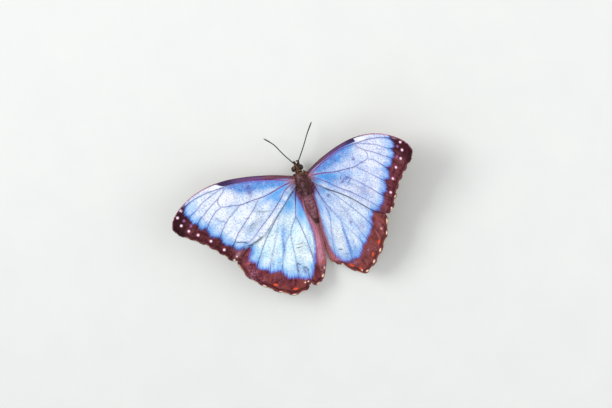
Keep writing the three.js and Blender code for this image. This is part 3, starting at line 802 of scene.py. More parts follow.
# Patches of tint: middle outward, middle forward, half length, half width, turn in degrees, strength. The
# whitest patches are painted sheen, and the rose patches painted highlights.
TINTS = {
    "forewing_left": {
        "azure": [(1.8, -3.9, 1.6, 1.4, -38, 1.0), (4.2, -6.2, 1.2, 2.2, -42, 0.7),
                  (13.5, 2.6, 8.5, 2.0, 13, 1.3), (24, 5.0, 5, 1.9, 8, 1.0), (7, -0.5, 4, 1.1, 0, 0.9),
                  (29, 6.0, 2.5, 1.0, 0, 0.6), (18, 2.4, 6, 3.0, 5, 0.8), (25, 2.6, 3.4, 2.6, 0, 0.5)],
        "aqua": [(7.4, -9.0, 1.1, 4.6, -50, 0.75), (8.5, -4, 4.4, 2.0, -30, 1.0),
                 (14.5, -4.6, 5, 1.5, -14, 0.75), (12, -8.5, 6, 1.6, -40, 0.35),
                 (4.6, -2.4, 2.5, 0.7, -20, 0.8),
                 (12, 0.2, 4, 0.9, 5, 0.5), (48, 1.6, 3.8, 1.6, -55, 0.55), (47.5, -3.8, 3, 1.3, -50, 0.5),
                 (44, -10.2, 2.6, 2.0, -50, 0.6), (37.5, -18, 2.4, 1.4, -40, 0.45),
                 (41, -7, 2, 2.5, 0, 0.3)],
        "mauve": [(21, 2.2, 1.3, 3.6, 0, 1.0), (16, 4.6, 5, 0.8, 14, 0.5), (27.6, 5.6, 1.6, 1.4, 0, 0.35),
                  (39.3, -5.6, 0.4, 1.1, -20, 0.9), (37.2, -7.7, 1.8, 0.35, 32, 0.8),
                  (45.4, -3.0, 0.4, 1.4, -30, 0.7),
                  (44.2, -6.6, 0.4, 1.2, -20, 0.6), (30.4, -20.6, 1.0, 0.8, 0, 0.9)],
        "grey": [(19.6, -9.1, 2.6, 0.45, 24, 1.0), (15.6, -10.4, 2.0, 0.35, 10, 0.6),
                 (22.5, -13.5, 4.6, 1.4, -30, 0.4), (33, -19.3, 2.4, 0.45, 20, 1.0),
                 (29.5, -13.5, 0.5, 1.6, 10, 0.5), (26, -15.5, 3, 1.5, -20, 0.3)],
        "glow": [(40, 1, 8, 4.5, -25, 0.7), (30, 1.6, 5, 2.6, 0, 0.9), (25, -8, 6, 3.5, -30, 0.6),
                 (36, 7.8, 5, 1.0, -3, 1.0), (18, -15.5, 6, 1.2, -37, 0.9), (33, -10, 4, 3, -30, 0.4)],
        "rosy": [(41, 8.75, 3.4, 0.35, -4, 0.8), (46, 7.6, 1.6, 0.4, -18, 1.0),
                 (50.2, 5.9, 1.6, 0.5, -30, 0.9),
                 (35.6, -24.4, 2.0, 0.8, -30, 0.5), (31, 0.8, 3, 2.5, 0, 0.15)],
    },
    "forewing_right": {
        "azure": [(1.8, -3.9, 1.8, 1.4, -38, 0.9), (12.5, 1.8, 6, 2.4, 14, 1.3),
                  (24.5, 6.4, 4.5, 1.3, 8, 1.1), (18.5, 4.0, 4, 2.2, 14, 0.8),
                  (6, 0.2, 3, 1.1, 0, 0.9), (9.6, -4, 3.4, 2.0, -20, 1.0), (29, 6.6, 2.4, 1.2, 0, 0.5),
                  (24, 3, 7, 3.2, 0, 0.55), (16, -7, 9, 2.6, -25, 0.5)],
        "aqua": [(3.6, -4.6, 2.4, 1.6, -40, 0.9), (7.6, -9.4, 1.1, 3.6, -50, 0.5),
                 (17, -4.4, 8, 2.2, -8, 0.6), (10, -7, 5, 1.6, -38, 0.7),(19.6, 2.0, 1.0, 3.0, 0, 0.6),
                 (5.5, -2.9, 3, 1.2, -15, 0.8), (27, 5.0, 4, 2, -10, 0.4),
                 (14, -4.5, 2.5, 1.5, -20, 0.4), (48, 1.2, 3.4, 1.5, -60, 0.4),
                 (43, -9.5, 2.6, 1.6, -50, 0.45),
                 (32, -23, 2, 1.5, 0, 0.5)],
        "mauve": [(27.8, 0.3, 0.8, 0.7, 0, 1.2), (17.6, -8.0, 2.0, 0.6, 18, 0.9),
                  (20.6, -7.0, 1.8, 0.7, 0, 0.8),
                  (13, -6, 2, 0.8, -20, 0.4), (17.3, 2.0, 0.5, 2.6, 0, 0.6), (28, -15.5, 5, 3, -30, 0.3),
                  (16, 4.4, 4, 0.6, 14, 0.5)],
        "grey": [(24, -11.5, 4, 0.5, -36, 0.3), (31.5, 4.6, 1.0, 1.2, 0, 0.4)],
        "glow": [(35, 8.0, 6, 1.1, -2, 1.0), (30.5, 3.4, 3, 2.4, 0, 0.9), (39, 3, 6, 4, -20, 0.8),
                 (22, -12.6, 5, 1.0, -25, 0.9), (35, -12, 4, 3, -40, 0.3), (37, -3, 5, 2, -20, 0.4)],
        "rosy": [(40, 9.0, 3.0, 0.35, -4, 0.5), (45.2, 8.0, 1.8, 0.35, -15, 1.0),
                 (49.4, 6.5, 1.6, 0.45, -25, 1.0),
                 (52.8, 4.0, 1.0, 0.4, -30, 0.7)],
    },
    "hindwing_left": {
        "azure": [(11.5, -21, 1.4, 4, 25, 0.35), (13.8, -28, 0.9, 6, 14, 0.85),
                  (17.8, -36, 1.1, 3.5, 5, 0.6),
                  (6, -12, 3, 4, 30, 0.5), (21, -35, 1.6, 2.5, 20, 0.5), (26, -30.5, 1.4, 3, 30, 0.4),
                  (10, -40, 5, 2.6, 0, 0.4)],
        "aqua": [(2.4, -7.4, 1.6, 1.8, 0, 1.5), (0.8, -12.6, 1.2, 2.6, 5, 1.5),
                 (2.0, -17, 2.2, 4.0, 8, 0.9),
                 (5.5, -11, 2.4, 3.5, 30, 0.9), (0.2, -22, 1.0, 3, 0, 0.6), (10, -12, 3.0, 2, 40, 0.5),
                 (12, -23, 1.6, 3.5, 14, 0.4)],
        "mauve": [(-0.6, -28, 0.6, 8, 3, 0.7), (1.6, -38, 0.6, 5, -18, 0.9),
                  (12.5, -43.2, 1.8, 0.8, 0, 0.7), (9.0, -45.4, 2.4, 0.9, 0, 0.9),
                  (10.6, -38.2, 0.6, 1.3, 20, 1.0), (7.9, -42.6, 1.2, 1.6, 0, 1.0),
                  (3.8, -42.5, 0.7, 2.5, -20, 0.6)],
        "grey": [(6.4, -29.6, 1.8, 0.35, 6, 1.0), (6, -31.2, 2, 0.35, 0, 0.4),
                 (7.8, -40.9, 1.0, 0.5, 0, 0.8)],
        "glow": [(9.0, -17.5, 2.4, 3.6, 20, 0.5), (6, -34, 3.6, 7, 0, 0.8), (12.2, -31, 1.6, 7, 10, 0.6),
                 (18.5, -26, 3.5, 6, 25, 0.7),
                 (5.5, -24, 1.8, 4, 10, 0.4)],
        "rosy": [(31.6, -31, 1.2, 3.0, 5, 0.5), (31.2, -36.4, 1.6, 2.4, 40, 0.8),
                 (27.6, -39.8, 1.0, 1.4, 40, 0.4), (9.4, -46.4, 1.0, 0.8, 0, 0.7)],
    },
    "hindwing_right": {
        "azure": [(2.0, -12, 1.2, 4, 20, 0.8), (4.5, -8.2, 2.4, 2, 35, 0.8), (1, -18, 1.4, 4, 0, 0.2),
                  (9.1, -35.5, 0.6, 8, 0, 1.2), (17, -35.5, 1.2, 2.5, 10, 0.7), (12, -38, 0.9, 4, 0, 0.45),
                  (6.4, -14, 3.4, 3, 20, 0.5), (9.5, -40.5, 4.5, 2.6, 0, 0.4)],
        "aqua": [(-0.2, -16, 1.2, 5, 5, 0.8), (-1.2, -26, 1.0, 6, 3, 0.7), (0, -33, 1.2, 5, 5, 0.45),
                 (4, -22, 1.3, 5, 10, 0.4), (4.2, -9.5, 1.4, 2, 30, 0.6)],
        "mauve": [(6.6, -12.3, 1.2, 0.9, 20, 1.0), (14.2, -26.6, 0.9, 0.8, 40, 1.0),
                  (12.8, -22.5, 2.5, 3, 40, 0.25),
                  (20, -30, 2, 4, 20, 0.3), (5.5, -42.4, 1.5, 0.7, 0, 0.6)],
        "grey": [(3.5, -37.8, 1.3, 0.35, -5, 1.0), (5.6, -40.4, 1.8, 0.5, -15, 0.7)],
        "glow": [(4.8, -31, 2.0, 5.5, 3, 1.3), (0.6, -27, 0.9, 6, 3, 0.5), (14, -19, 4, 4, 40, 0.5),
                 (19, -25, 2.5, 4, 20, 0.4),
                 (13, -33, 1.3, 5, 5, 0.5)],
        "rosy": [(0.6, -42.0, 2.4, 1.2, 0, 1.3), (8.4, -45.0, 2.6, 0.8, -8, 0.8),
                 (28.6, -30.5, 1.0, 2.6, 0, 0.35),
                 (18.4, -41.6, 0.6, 1.6, -30, 0.9), (-3.5, -40, 1.6, 1.6, 0, 0.4)],
    },
}
# Round white spots in the brown border, then short marks as (outward, forward, turn, half length).
PALE_SPOTS = {
    "forewing_left": [(53.5, 3.3), (56.0, 0.8), (55.6, -3.2), (53.2, -6.7), (49.8, -9.8), (45.2, -14.4),
                      (40.8, -20.2)],
    "forewing_right": [(55.4, 1.5), (54.9, -2.2), (52.7, -5.7), (48.7, -8.9), (44.9, -13.4), (41.0, -19.2)],
    "hindwing_right": [(29.2, -33.2)],
}
FAINT_SPOTS = {
    "forewing_left": [(53.7, -1.5), (51.5, -4.8)],
    "forewing_right": [(53.2, 0.0), (51.2, -4.4)],
}
# Dark lines of painted shade in the creases and crinkles of the scales: middle outward and forward, turn,
# half length, half width.
CREASE_SHADOWS = {
    "forewing_left": [(32.6, -19.5, 12, 2.2, 0.22), (28.2, -22.4, 10, 3.2, 0.3),
                      (30.4, -20.6, 35, 1.4, 0.2),
                      (22.9, -20.6, 40, 1.8, 0.2), (26.2, -10.2, 8, 1.6, 0.2),
                      (25.0, -13.8, -30, 1.5, 0.18)],
    "forewing_right": [(17.5, -6.0, 50, 1.4, 0.25), (21.5, -8.6, 35, 1.6, 0.2)],
    "hindwing_left": [(7.6, -40.5, 28, 0.9, 0.3), (6.7, -41.9, 78, 1.1, 0.32), (7.0, -44.4, 96, 1.6, 0.26),
                      (9.6, -38.4, 40, 1.0, 0.3), (11.1, -41.0, 80, 1.3, 0.3), (7.6, -31.0, 5, 1.5, 0.2)],
    "hindwing_right": [(7.2, -44.6, -20, 1.3, 0.5), (3.6, -37.8, -5, 1.3, 0.2), (8.4, -30.0, 95, 2.4, 0.2)],
}
EDGE_DASHES = {
    "forewing_left": [(59.1, -7.2, 35, 0.8), (52.0, -12.6, 30, 1.1), (46.9, -17.2, 45, 0.8),
                      (42.2, -22.7, 50, 0.8),
                      (36.4, -25.1, 5, 0.35), (38.0, -26.2, 50, 0.4)],
    "forewing_right": [(52.4, -12.3, 38, 0.7), (47.0, -17.2, 48, 0.7), (42.6, -21.6, 52, 0.8),
                       (38.1, -26.3, 45, 0.7)],
    "hindwing_left": [(36.0, -31.2, 78, 1.4), (27.9, -43.0, 44, 0.9), (21.6, -48.0, 38, 0.9),
                      (16, -51.1, 12, 1.3), (12, -51.0, 0, 0.8), (9.7, -47.2, 60, 0.36),
                      (8.2, -47.2, 70, 0.3),
                      (4, -49.6, -10, 0.8), (1, -46.8, -45, 0.8), (-0.8, -43.6, -60, 0.8)],
    "hindwing_right": [(33.2, -31.0, 78, 1.5), (31.2, -35.8, 66, 0.9), (24.8, -42.6, 50, 0.9),
                       (19.6, -46.9, 46, 0.9),
                       (14.2, -50.4, 10, 0.8), (11.4, -49.4, -25, 0.5), (1.6, -44.7, -15, 0.7),
                       (-3.2, -43.4, -15, 0.5),
                       (-5.8, -42.3, -15, 0.5)],
}
ORANGE_MARKS = {
    "hindwing_left": [(22.9, -44.0, 30, 1.1), (14.8, -48.6, 5, 1.1), (-1.1, -41.0, -80, 1.2)],
    "hindwing_right": [(25.6, -38.8, 45, 1.1), (20.2, -43.6, 60, 1.0), (11.0, -48.6, -20, 0.8),
                       (6.6, -46.2, -20, 1.3),
                       (-4.6, -41.8, -30, 1.0)],
}
# Eyespots of the underside: middle outward, middle forward, radius.
EYESPOTS = {
    "forewing": [(43.5, 0.6, 2.6), (44.5, -5.6, 2.2), (36.6, -13.2, 3.0)],
    "hindwing": [(26.6, -24.6, 4.2), (17.2, -34.6, 2.4), (11.6, -38.2, 3.0), (5.8, -39.2, 2.4)],
}


def costal_width(a, side):
    """Width of the dark band along a forewing's front edge."""
    return (1.5 + 0.45 * soft(a, 2, 11) + 0.45 * soft(a, 22, 30)) * (0.82 if side > 0 else 1.0)


# Colours of each wing's upper side: pale ice, its whitest, rim, violet, dark and light brown. The pale ice
# is partly painted sheen and its whitest is painted sheen; the left wings, which face the view, are painted
# whiter than the right ones, which are bluer and more violet.
COLOURS = {
    "forewing_left": ("B4D4F4", "FAFCFF", "3A8ADC", "34429E", "3A1016", "62272B"),
    "forewing_right": ("AEC8F2", "F0F4FF", "5090E0", "5244A8", "4C141B", "743640"),
    "hindwing_left": ("AEE6F6", "F8FFFC", "5098E6", "5E4EB4", "4C161C", "76323A"),
    "hindwing_right": ("B0D0F6", "EAF2FD", "669CE6", "6650B6", "5A2424", "84423E"),
}


def upper_finish(name, kind):
    """The blue upper side: icy scales over the membrane, with a brown border and pale marks."""
    wing = Finish(f"{name}_blue")
    plan = wing.place("plan")
    lie = wing.place("lie")
    read = wing.reading
    front, left = kind == "forewing", name.endswith("left")
    pale, white, rim, violet, dark, light = (paint(code) for code in COLOURS[name])
    broad = wing.noise(plan, 0.16, 4.0)
    patchy = wing.noise(plan, 0.55, 5.0, 0.65)
    fine = wing.noise(plan, 2.6, 3.0, 0.6)
    speck = wing.noise(plan, 1.3, 3.0, 0.75)
    fleck = wing.noise(plan, 1.25, 2.0, 0.7)
    streak = wing.noise(wing.spaced(lie, 70, 7, 1), 1.0, 3.0, 0.6)
    hair = wing.noise(wing.spaced(lie, 230, 16, 1), 1.0, 2.0, 0.6)
    wrinkle = wing.noise(wing.spaced(plan, 0.45, 2.4, 1), 1.0, 3.0, 0.65)
    # Painted sheen on the blue scales: whiter streaks and broad patches, and near-white patches where the
    # tints ask for them.
    ice = wing.mix(streak.rise(0.38, 0.6) * 0.5 + broad.rise(0.38, 0.6) * 0.5, pale, white)
    ice = wing.mix(patchy.rise(0.52, 0.66) * 0.35, ice, paint("8FB4EE" if front else "86BCEE"))
    ice = wing.mix(read("glow") * patchy.rise(0.2, 0.5), ice, paint("FCFCFF" if front else "F0FAF4"))
    # Bluish painted shade in a soft band beside the veins.
    ice = wing.mix(read("vein_near").fall(0.1, 0.9) * 0.35, ice, paint("7F95DC"))
    # Grey patches on the wrinkles and thin dark crinkle lines are painted shade in the membrane's small
    # folds.
    wrinkle_shade = wrinkle.rise(0.54, 0.68) * (0.4 if left else 0.32)
    ice = wing.mix(wrinkle_shade, ice, paint("A3B4C0" if left else "9A9CD4"))
    ice = wing.mix(speck.rise(0.58, 0.74) * 0.35, ice, paint("8EA2D0"))
    ridge = wing.noise(plan, 0.75, 3.0, 0.65) - 0.5
    crinkle_shade = (ridge * ridge).fall(0.0002, 0.0016) * wing.noise(plan, 0.13).rise(0.44, 0.56)
    ice = wing.mix(crinkle_shade * 0.55, ice, paint("8EA0C4" if left else "8284CC"))
    ice = wing.mix(fleck.rise(0.56, 0.62) * 0.5, ice, paint("6E8CD4" if front else "70A8E0"))
    # Pure white flecks: painted glints on the scales.
    ice = wing.mix(fleck.fall(0.38, 0.44) * 0.5, ice, paint("FFFFFF"))
    azure = read("azure") * (0.6 + 0.6 * patchy.rise(0.3, 0.6)).least(1.0)
    ice = wing.mix(azure * 0.92, ice, wing.mix(hair.rise(0.35, 0.62), paint("2C68C0"), paint("6CACEC")))
    ice = wing.mix(read("azure") * fleck.rise(0.54, 0.62) * 0.55, ice, paint("5A48A4"))
    aqua = read("aqua") * (0.5 + 0.75 * streak.rise(0.3, 0.65)).least(1.0)
    ice = wing.mix(aqua * 0.9, ice, wing.mix(hair.rise(0.35, 0.62), paint("1478DC"), paint("52B8F6")))
    ice = wing.mix(read("mauve") * patchy.rise(0.2, 0.5) * 0.8, ice, paint("5A56A6"))
    ice = wing.mix(read("grey") * fine.rise(0.3, 0.5) * 0.8, ice, paint("6A7C8C"))
    if front:
        beside = read("costal").rise(-2.4, 0.0) * (1 - read("costal_dark"))
        ice = wing.mix(beside * 0.5, ice, wing.mix(hair.rise(0.35, 0.62), paint("4A48BC"), paint("7A86E0")))
    # Towards the border the blue deepens in streaks, and turns violet where it meets the brown.
    ragged = read("blue_depth") + (fine - 0.5) * 2.0 + (hair - 0.5) * 3.0 + (streak - 0.5) * 1.6
    rim_width = 4.4 if front else 4.4 - read("inner_side") * 3.2
    ice = wing.mix(ragged.fall(0.0, rim_width) * 0.95, ice,
                   wing.mix(hair.rise(0.35, 0.65), rim, paint("86C0F6")))
    ice = wing.mix(ragged.fall(0.0, 1.5) * 0.95, ice, violet)
    # The brown border is darker at the wing's tip and redder behind.
    brown = wing.mix(patchy.rise(0.35, 0.62), dark, light)
    brown = wing.mix(streak.rise(0.52, 0.72) * 0.55, brown, paint("8C4A50" if left else "B0707A"))
    brown = wing.mix(broad.rise(0.5, 0.66) * 0.35, brown, paint("9A5860"))
    brown = wing.mix(speck.fall(0.3, 0.48) * 0.55, brown, paint("260A10"))
    brown = wing.mix(fleck.rise(0.58, 0.66) * 0.35, brown, paint("A86C78"))
    if not front:
        brown = wing.mix(wing.noise(plan, 0.22).rise(0.48, 0.6) * 0.6, brown, paint("8E4640"))
    margin = read("edge_in") + (fine - 0.5) * 0.8
    brown = wing.mix(margin.rise(0.5, 0.9) * margin.fall(1.3, 2.0) * patchy.rise(0.4, 0.52) * 0.75, brown,
                     paint("2A0A10"))
    if front:
        brown = wing.mix(read("tip") * 0.85, brown, paint("22040E" if left else "300814"))
    border = ragged.fall(-0.2, 0.2)
    colour = wing.mix(border, ice, brown)
    if front:
        band = wing.mix(wing.noise(wing.spaced(lie, 160, 5, 1), 1.0).rise(0.4, 0.6), paint("40182C"),
                        paint("966470"))
        band = wing.mix(read("costal_mauve") * 0.8, band,
                        wing.mix(streak.rise(0.35, 0.65), paint("4E3468"), paint("7A5690")))
        band = wing.mix(read("costal_dark") * 0.9, band,
                        wing.mix(streak.rise(0.4, 0.6), paint("261C44"), paint("4A3864")))
        over = read("costal") + (fine - 0.5) * 0.3
        band = wing.mix(over.fall(0.1, 0.5) * 0.6, band, paint("2C2248"))
        band = wing.mix(read("front_in").fall(0.25, 0.5) * 0.8, band, paint("3A1028"))
        # The front edge line: dark maroon, with pink flecks that are painted highlights.
        line = wing.mix(speck.rise(0.5, 0.6), paint("5A1E3C"), paint("D890A8"))
        band = wing.mix(read("front_line"), band, line)
        colour = wing.mix(over.rise(-0.08, 0.12), colour, band)
        # Painted shadow along the curled rear edge of the forewing: grey-blue on the left, near black on
        # the right.
        curl = wing.mix(fine.rise(0.35, 0.6), paint("34405E" if left else "0E0A20"),
                        paint("667890" if left else "26223E"))
        colour = wing.mix(read("curl") * (0.6 + 0.4 * streak.rise(0.3, 0.6)), colour, curl)
    else:
        rose = wing.mix(streak.rise(0.38, 0.64), paint("D4708E" if left else "BC4E5A"),
                        paint("F6BED2" if left else "E892A0"))
        # Dark painted shadow in the crease of the folded inner edge and in the narrow gap beside the body.
        rose = wing.mix(read("crease"), rose, paint("5A2430"))
        colour = wing.mix(read("inner_fold") * ragged.fall(-0.2, 0.3), colour, rose)
    # Rose patches on the brown border and along the front edge are painted highlights.
    mottle = speck.rise(0.3, 0.55) if front else fleck.rise(0.42, 0.6)
    colour = wing.mix(read("rosy") * mottle * 0.85, colour, paint("E2AFCF" if front else "C884A6"))
    colour = wing.mix(read("root") * 0.9, colour,
                      wing.mix(fleck.rise(0.44, 0.56), paint("44142E"), paint("A0688A")))

    def mark(spots, tint, strength, soft_edge=(0.6, 1.2)):
        """Small oval marks: middle outward and forward, turn, half length, half width."""
        nearest = None
        for a, b, angle, long, wide in spots:
            settings = {"vector_type": "TEXTURE"}
            laid = wing.add("ShaderNodeMapping", settings, plan, (a, b, 0), (0, 0, radians(angle)),
                            (long, wide, 1))
            away = wing.add("ShaderNodeVectorMath", {"operation": "LENGTH"}, laid, output=1)
            nearest = away if nearest is None else nearest.least(away)
        return wing.mix((nearest + (fine - 0.5) * 0.7).fall(*soft_edge) * strength, colour, paint(tint))

    # Dark painted shade along the creases and crinkles.
    colour = mark(CREASE_SHADOWS[name], "2E3262", 0.7, (0.5, 1.4))
    if front:
        colour = mark([(a, b, 0, 0.8, 0.8) for a, b in FAINT_SPOTS[name]], "A868A0", 0.8, (0.2, 1.3))
    if name in PALE_SPOTS:
        colour = mark([(a, b, 0, 0.95, 0.95) for a, b in PALE_SPOTS[name]],
                      "B8708E" if front else "B06A72", 0.75,
                      (0.3, 1.2))
        colour = mark([(a, b, 0, 0.62, 0.6) for a, b in PALE_SPOTS[name]],
                      "FBE0EE" if front else "D8A09E", 0.97 if front else 0.75)
    colour = mark([(a, b, turned, long * 1.5, 0.9) for a, b, turned, long in EDGE_DASHES[name]], "B4685A",
                  0.6, (0.2, 1.2))
    colour = mark([(a, b, turned, long * 1.1, 0.42) for a, b, turned, long in EDGE_DASHES[name]],
                  "FADCBC", 0.97)
    if name in ORANGE_MARKS:
        colour = mark([(a, b, turned, long * 1.3, 1.0) for a, b, turned, long in ORANGE_MARKS[name]],
                      "9C3C30", 0.8, (0.3, 1.2))
        colour = mark([(a, b, turned, long * 1.1, 0.45) for a, b, turned, long in ORANGE_MARKS[name]],
                      "EC5A30", 0.95)
    wing.set(Base_Color=colour, Roughness=0.45 + border * 0.25, Metallic=0.1 * (1 - border),
             Specular_IOR_Level=0.12)
    rows = wing.add("ShaderNodeTexWave", {"bands_direction": "Y"}, wing.spaced(lie, 0, 150, 0), Scale=1.0,
                    Distortion=2.0)
    wing.bump(rows * 0.15 + hair * 0.35 + wrinkle * 0.5 + patchy * 0.8, 0.09 * MM, 0.8)
    return wing.material


def under_finish(name, kind):
    """The brown underside: pale wavy bands, ringed eyespots and fine lines along the edge."""
    wing = Finish(f"{name}_under")
    plan = wing.place("plan")
    lie = wing.place("lie")
    read = wing.reading
    patchy = wing.noise(plan, 0.35, 5.0, 0.65)
    fine = wing.noise(plan, 2.4, 3.0, 0.6)
    hair = wing.noise(wing.spaced(lie, 200, 14, 1), 1.0, 2.0)
    brown = wing.mix(patchy.rise(0.3, 0.7), paint("5E4433"), paint("7F6148"))
    brown = wing.mix(fine.rise(0.5, 0.7) * 0.35, brown, paint("9B8263"))
    reach = read("reach") + (patchy - 0.5) * 0.22
    for low, high, tint in ((0.30, 0.36, "C8B694"), (0.50, 0.54, "B9A582"), (0.12, 0.15, "A58F70")):
        band = reach.rise(low - 0.02, low + 0.01) * reach.fall(high, high + 0.03)
        brown = wing.mix(band * 0.75, brown, paint(tint))
    edge = read("edge_in") + (fine - 0.5) * 0.25
    for at, wide, tint in ((0.7, 0.25, "D8CBB0"), (1.5, 0.3, "A8532F"), (2.4, 0.3, "B9B2A4"),
                           (3.1, 0.2, "4A3328")):
        line = edge.rise(at - wide - 0.1, at - wide + 0.1) * edge.fall(at + wide - 0.1, at + wide + 0.1)
        brown = wing.mix(line * 0.8, brown, paint(tint))
    nearest = None
    for a, b, radius in EYESPOTS[kind]:
        settings = {"vector_type": "TEXTURE"}
        laid = wing.add("ShaderNodeMapping", settings, plan, (a, b, 0), (0, 0, 0),
                        (radius, radius * 0.86, 1))
        away = wing.add("ShaderNodeVectorMath", {"operation": "LENGTH"}, laid, output=1)
        nearest = away if nearest is None else nearest.least(away)
    rings = wing.add("ShaderNodeValToRGB", {"stops": [
        (0.0, paint("F2EFE6")), (0.10, paint("F2EFE6")), (0.15, paint("1B1512")), (0.42, paint("1B1512")),
        (0.48, paint("8C3B2A")), (0.58, paint("3A2A20")), (0.66, paint("D8B25A")), (0.80, paint("D8B25A")),
        (0.86, paint("3A2A20")), (1.0, paint("3A2A20"))]}, nearest)
    colour = wing.mix((nearest + (fine - 0.5) * 0.08).fall(0.93, 1.0), brown, rings)
    colour = wing.mix(read("vein_near").fall(0.05, 0.35) * 0.5, colour, paint("4B3527"))
    wing.set(Base_Color=colour, Roughness=0.62)
    wing.bump(hair * 0.4 + fine * 0.6, 0.08 * MM, 0.7)
    return wing.material


def rim_finish():
    rim = Finish("wing_rim")
    rim_fine = rim.noise(rim.place("plan"), 1.4, 3.0)
    rim.set(Base_Color=rim.mix(rim_fine.rise(0.45, 0.7), paint("452527"), paint("7A4E44")), Roughness=0.6)
    return rim.material


wing_rim = rim_finish()
vein_finish = Finish("veins")
vein_depth = vein_finish.reading("blue_depth")
vein_share = vein_finish.reading("share")
vein_noise = vein_finish.noise(vein_finish.place("plan"), 0.8, 3.0)
vein_tint = vein_finish.mix(vein_noise.rise(0.35, 0.65), paint("4A4470"), paint("8680B6"))
vein_tint = vein_finish.mix(vein_share.fall(0.1, 0.7) * vein_finish.reading("thick"), vein_tint,
                            vein_finish.mix(vein_noise.rise(0.4, 0.6), paint("76105E"), paint("A03A90")))
vein_tint = vein_finish.mix(vein_share.fall(0.02, 0.14) * vein_finish.reading("thick"), vein_tint,
                            paint("C08894"))
vein_tint = vein_finish.mix(vein_depth.fall(0.5, 4.5) * 0.85, vein_tint, paint("2C2A62"))
vein_tint = vein_finish.mix(vein_depth.fall(-0.6, 0.2), vein_tint, paint("34121A"))
vein_tint = vein_finish.mix(vein_finish.reading("under"), vein_tint, paint("4B3527"))
vein_finish.set(Base_Color=vein_tint, Roughness=0.5, Specular_IOR_Level=0.3)
vein_finish.bump(vein_noise, 0.05 * MM, 0.5)

WINGS = [
    ("forewing_left", FOREWING_LEFT, -1, FOREWING_VEINS_LEFT),
    ("forewing_right", FOREWING_RIGHT, 1, FOREWING_VEINS_RIGHT),
    ("hindwing_left", HINDWING_LEFT, -1, HINDWING_VEINS_LEFT),
    ("hindwing_right", HINDWING_RIGHT, 1, HINDWING_VEINS_RIGHT),
]
wing_sheets = {}
VEIN_STEPS = 60


def twice(values):
    """The same values for the upper side and for the underside."""
    return np.concatenate([values, values])


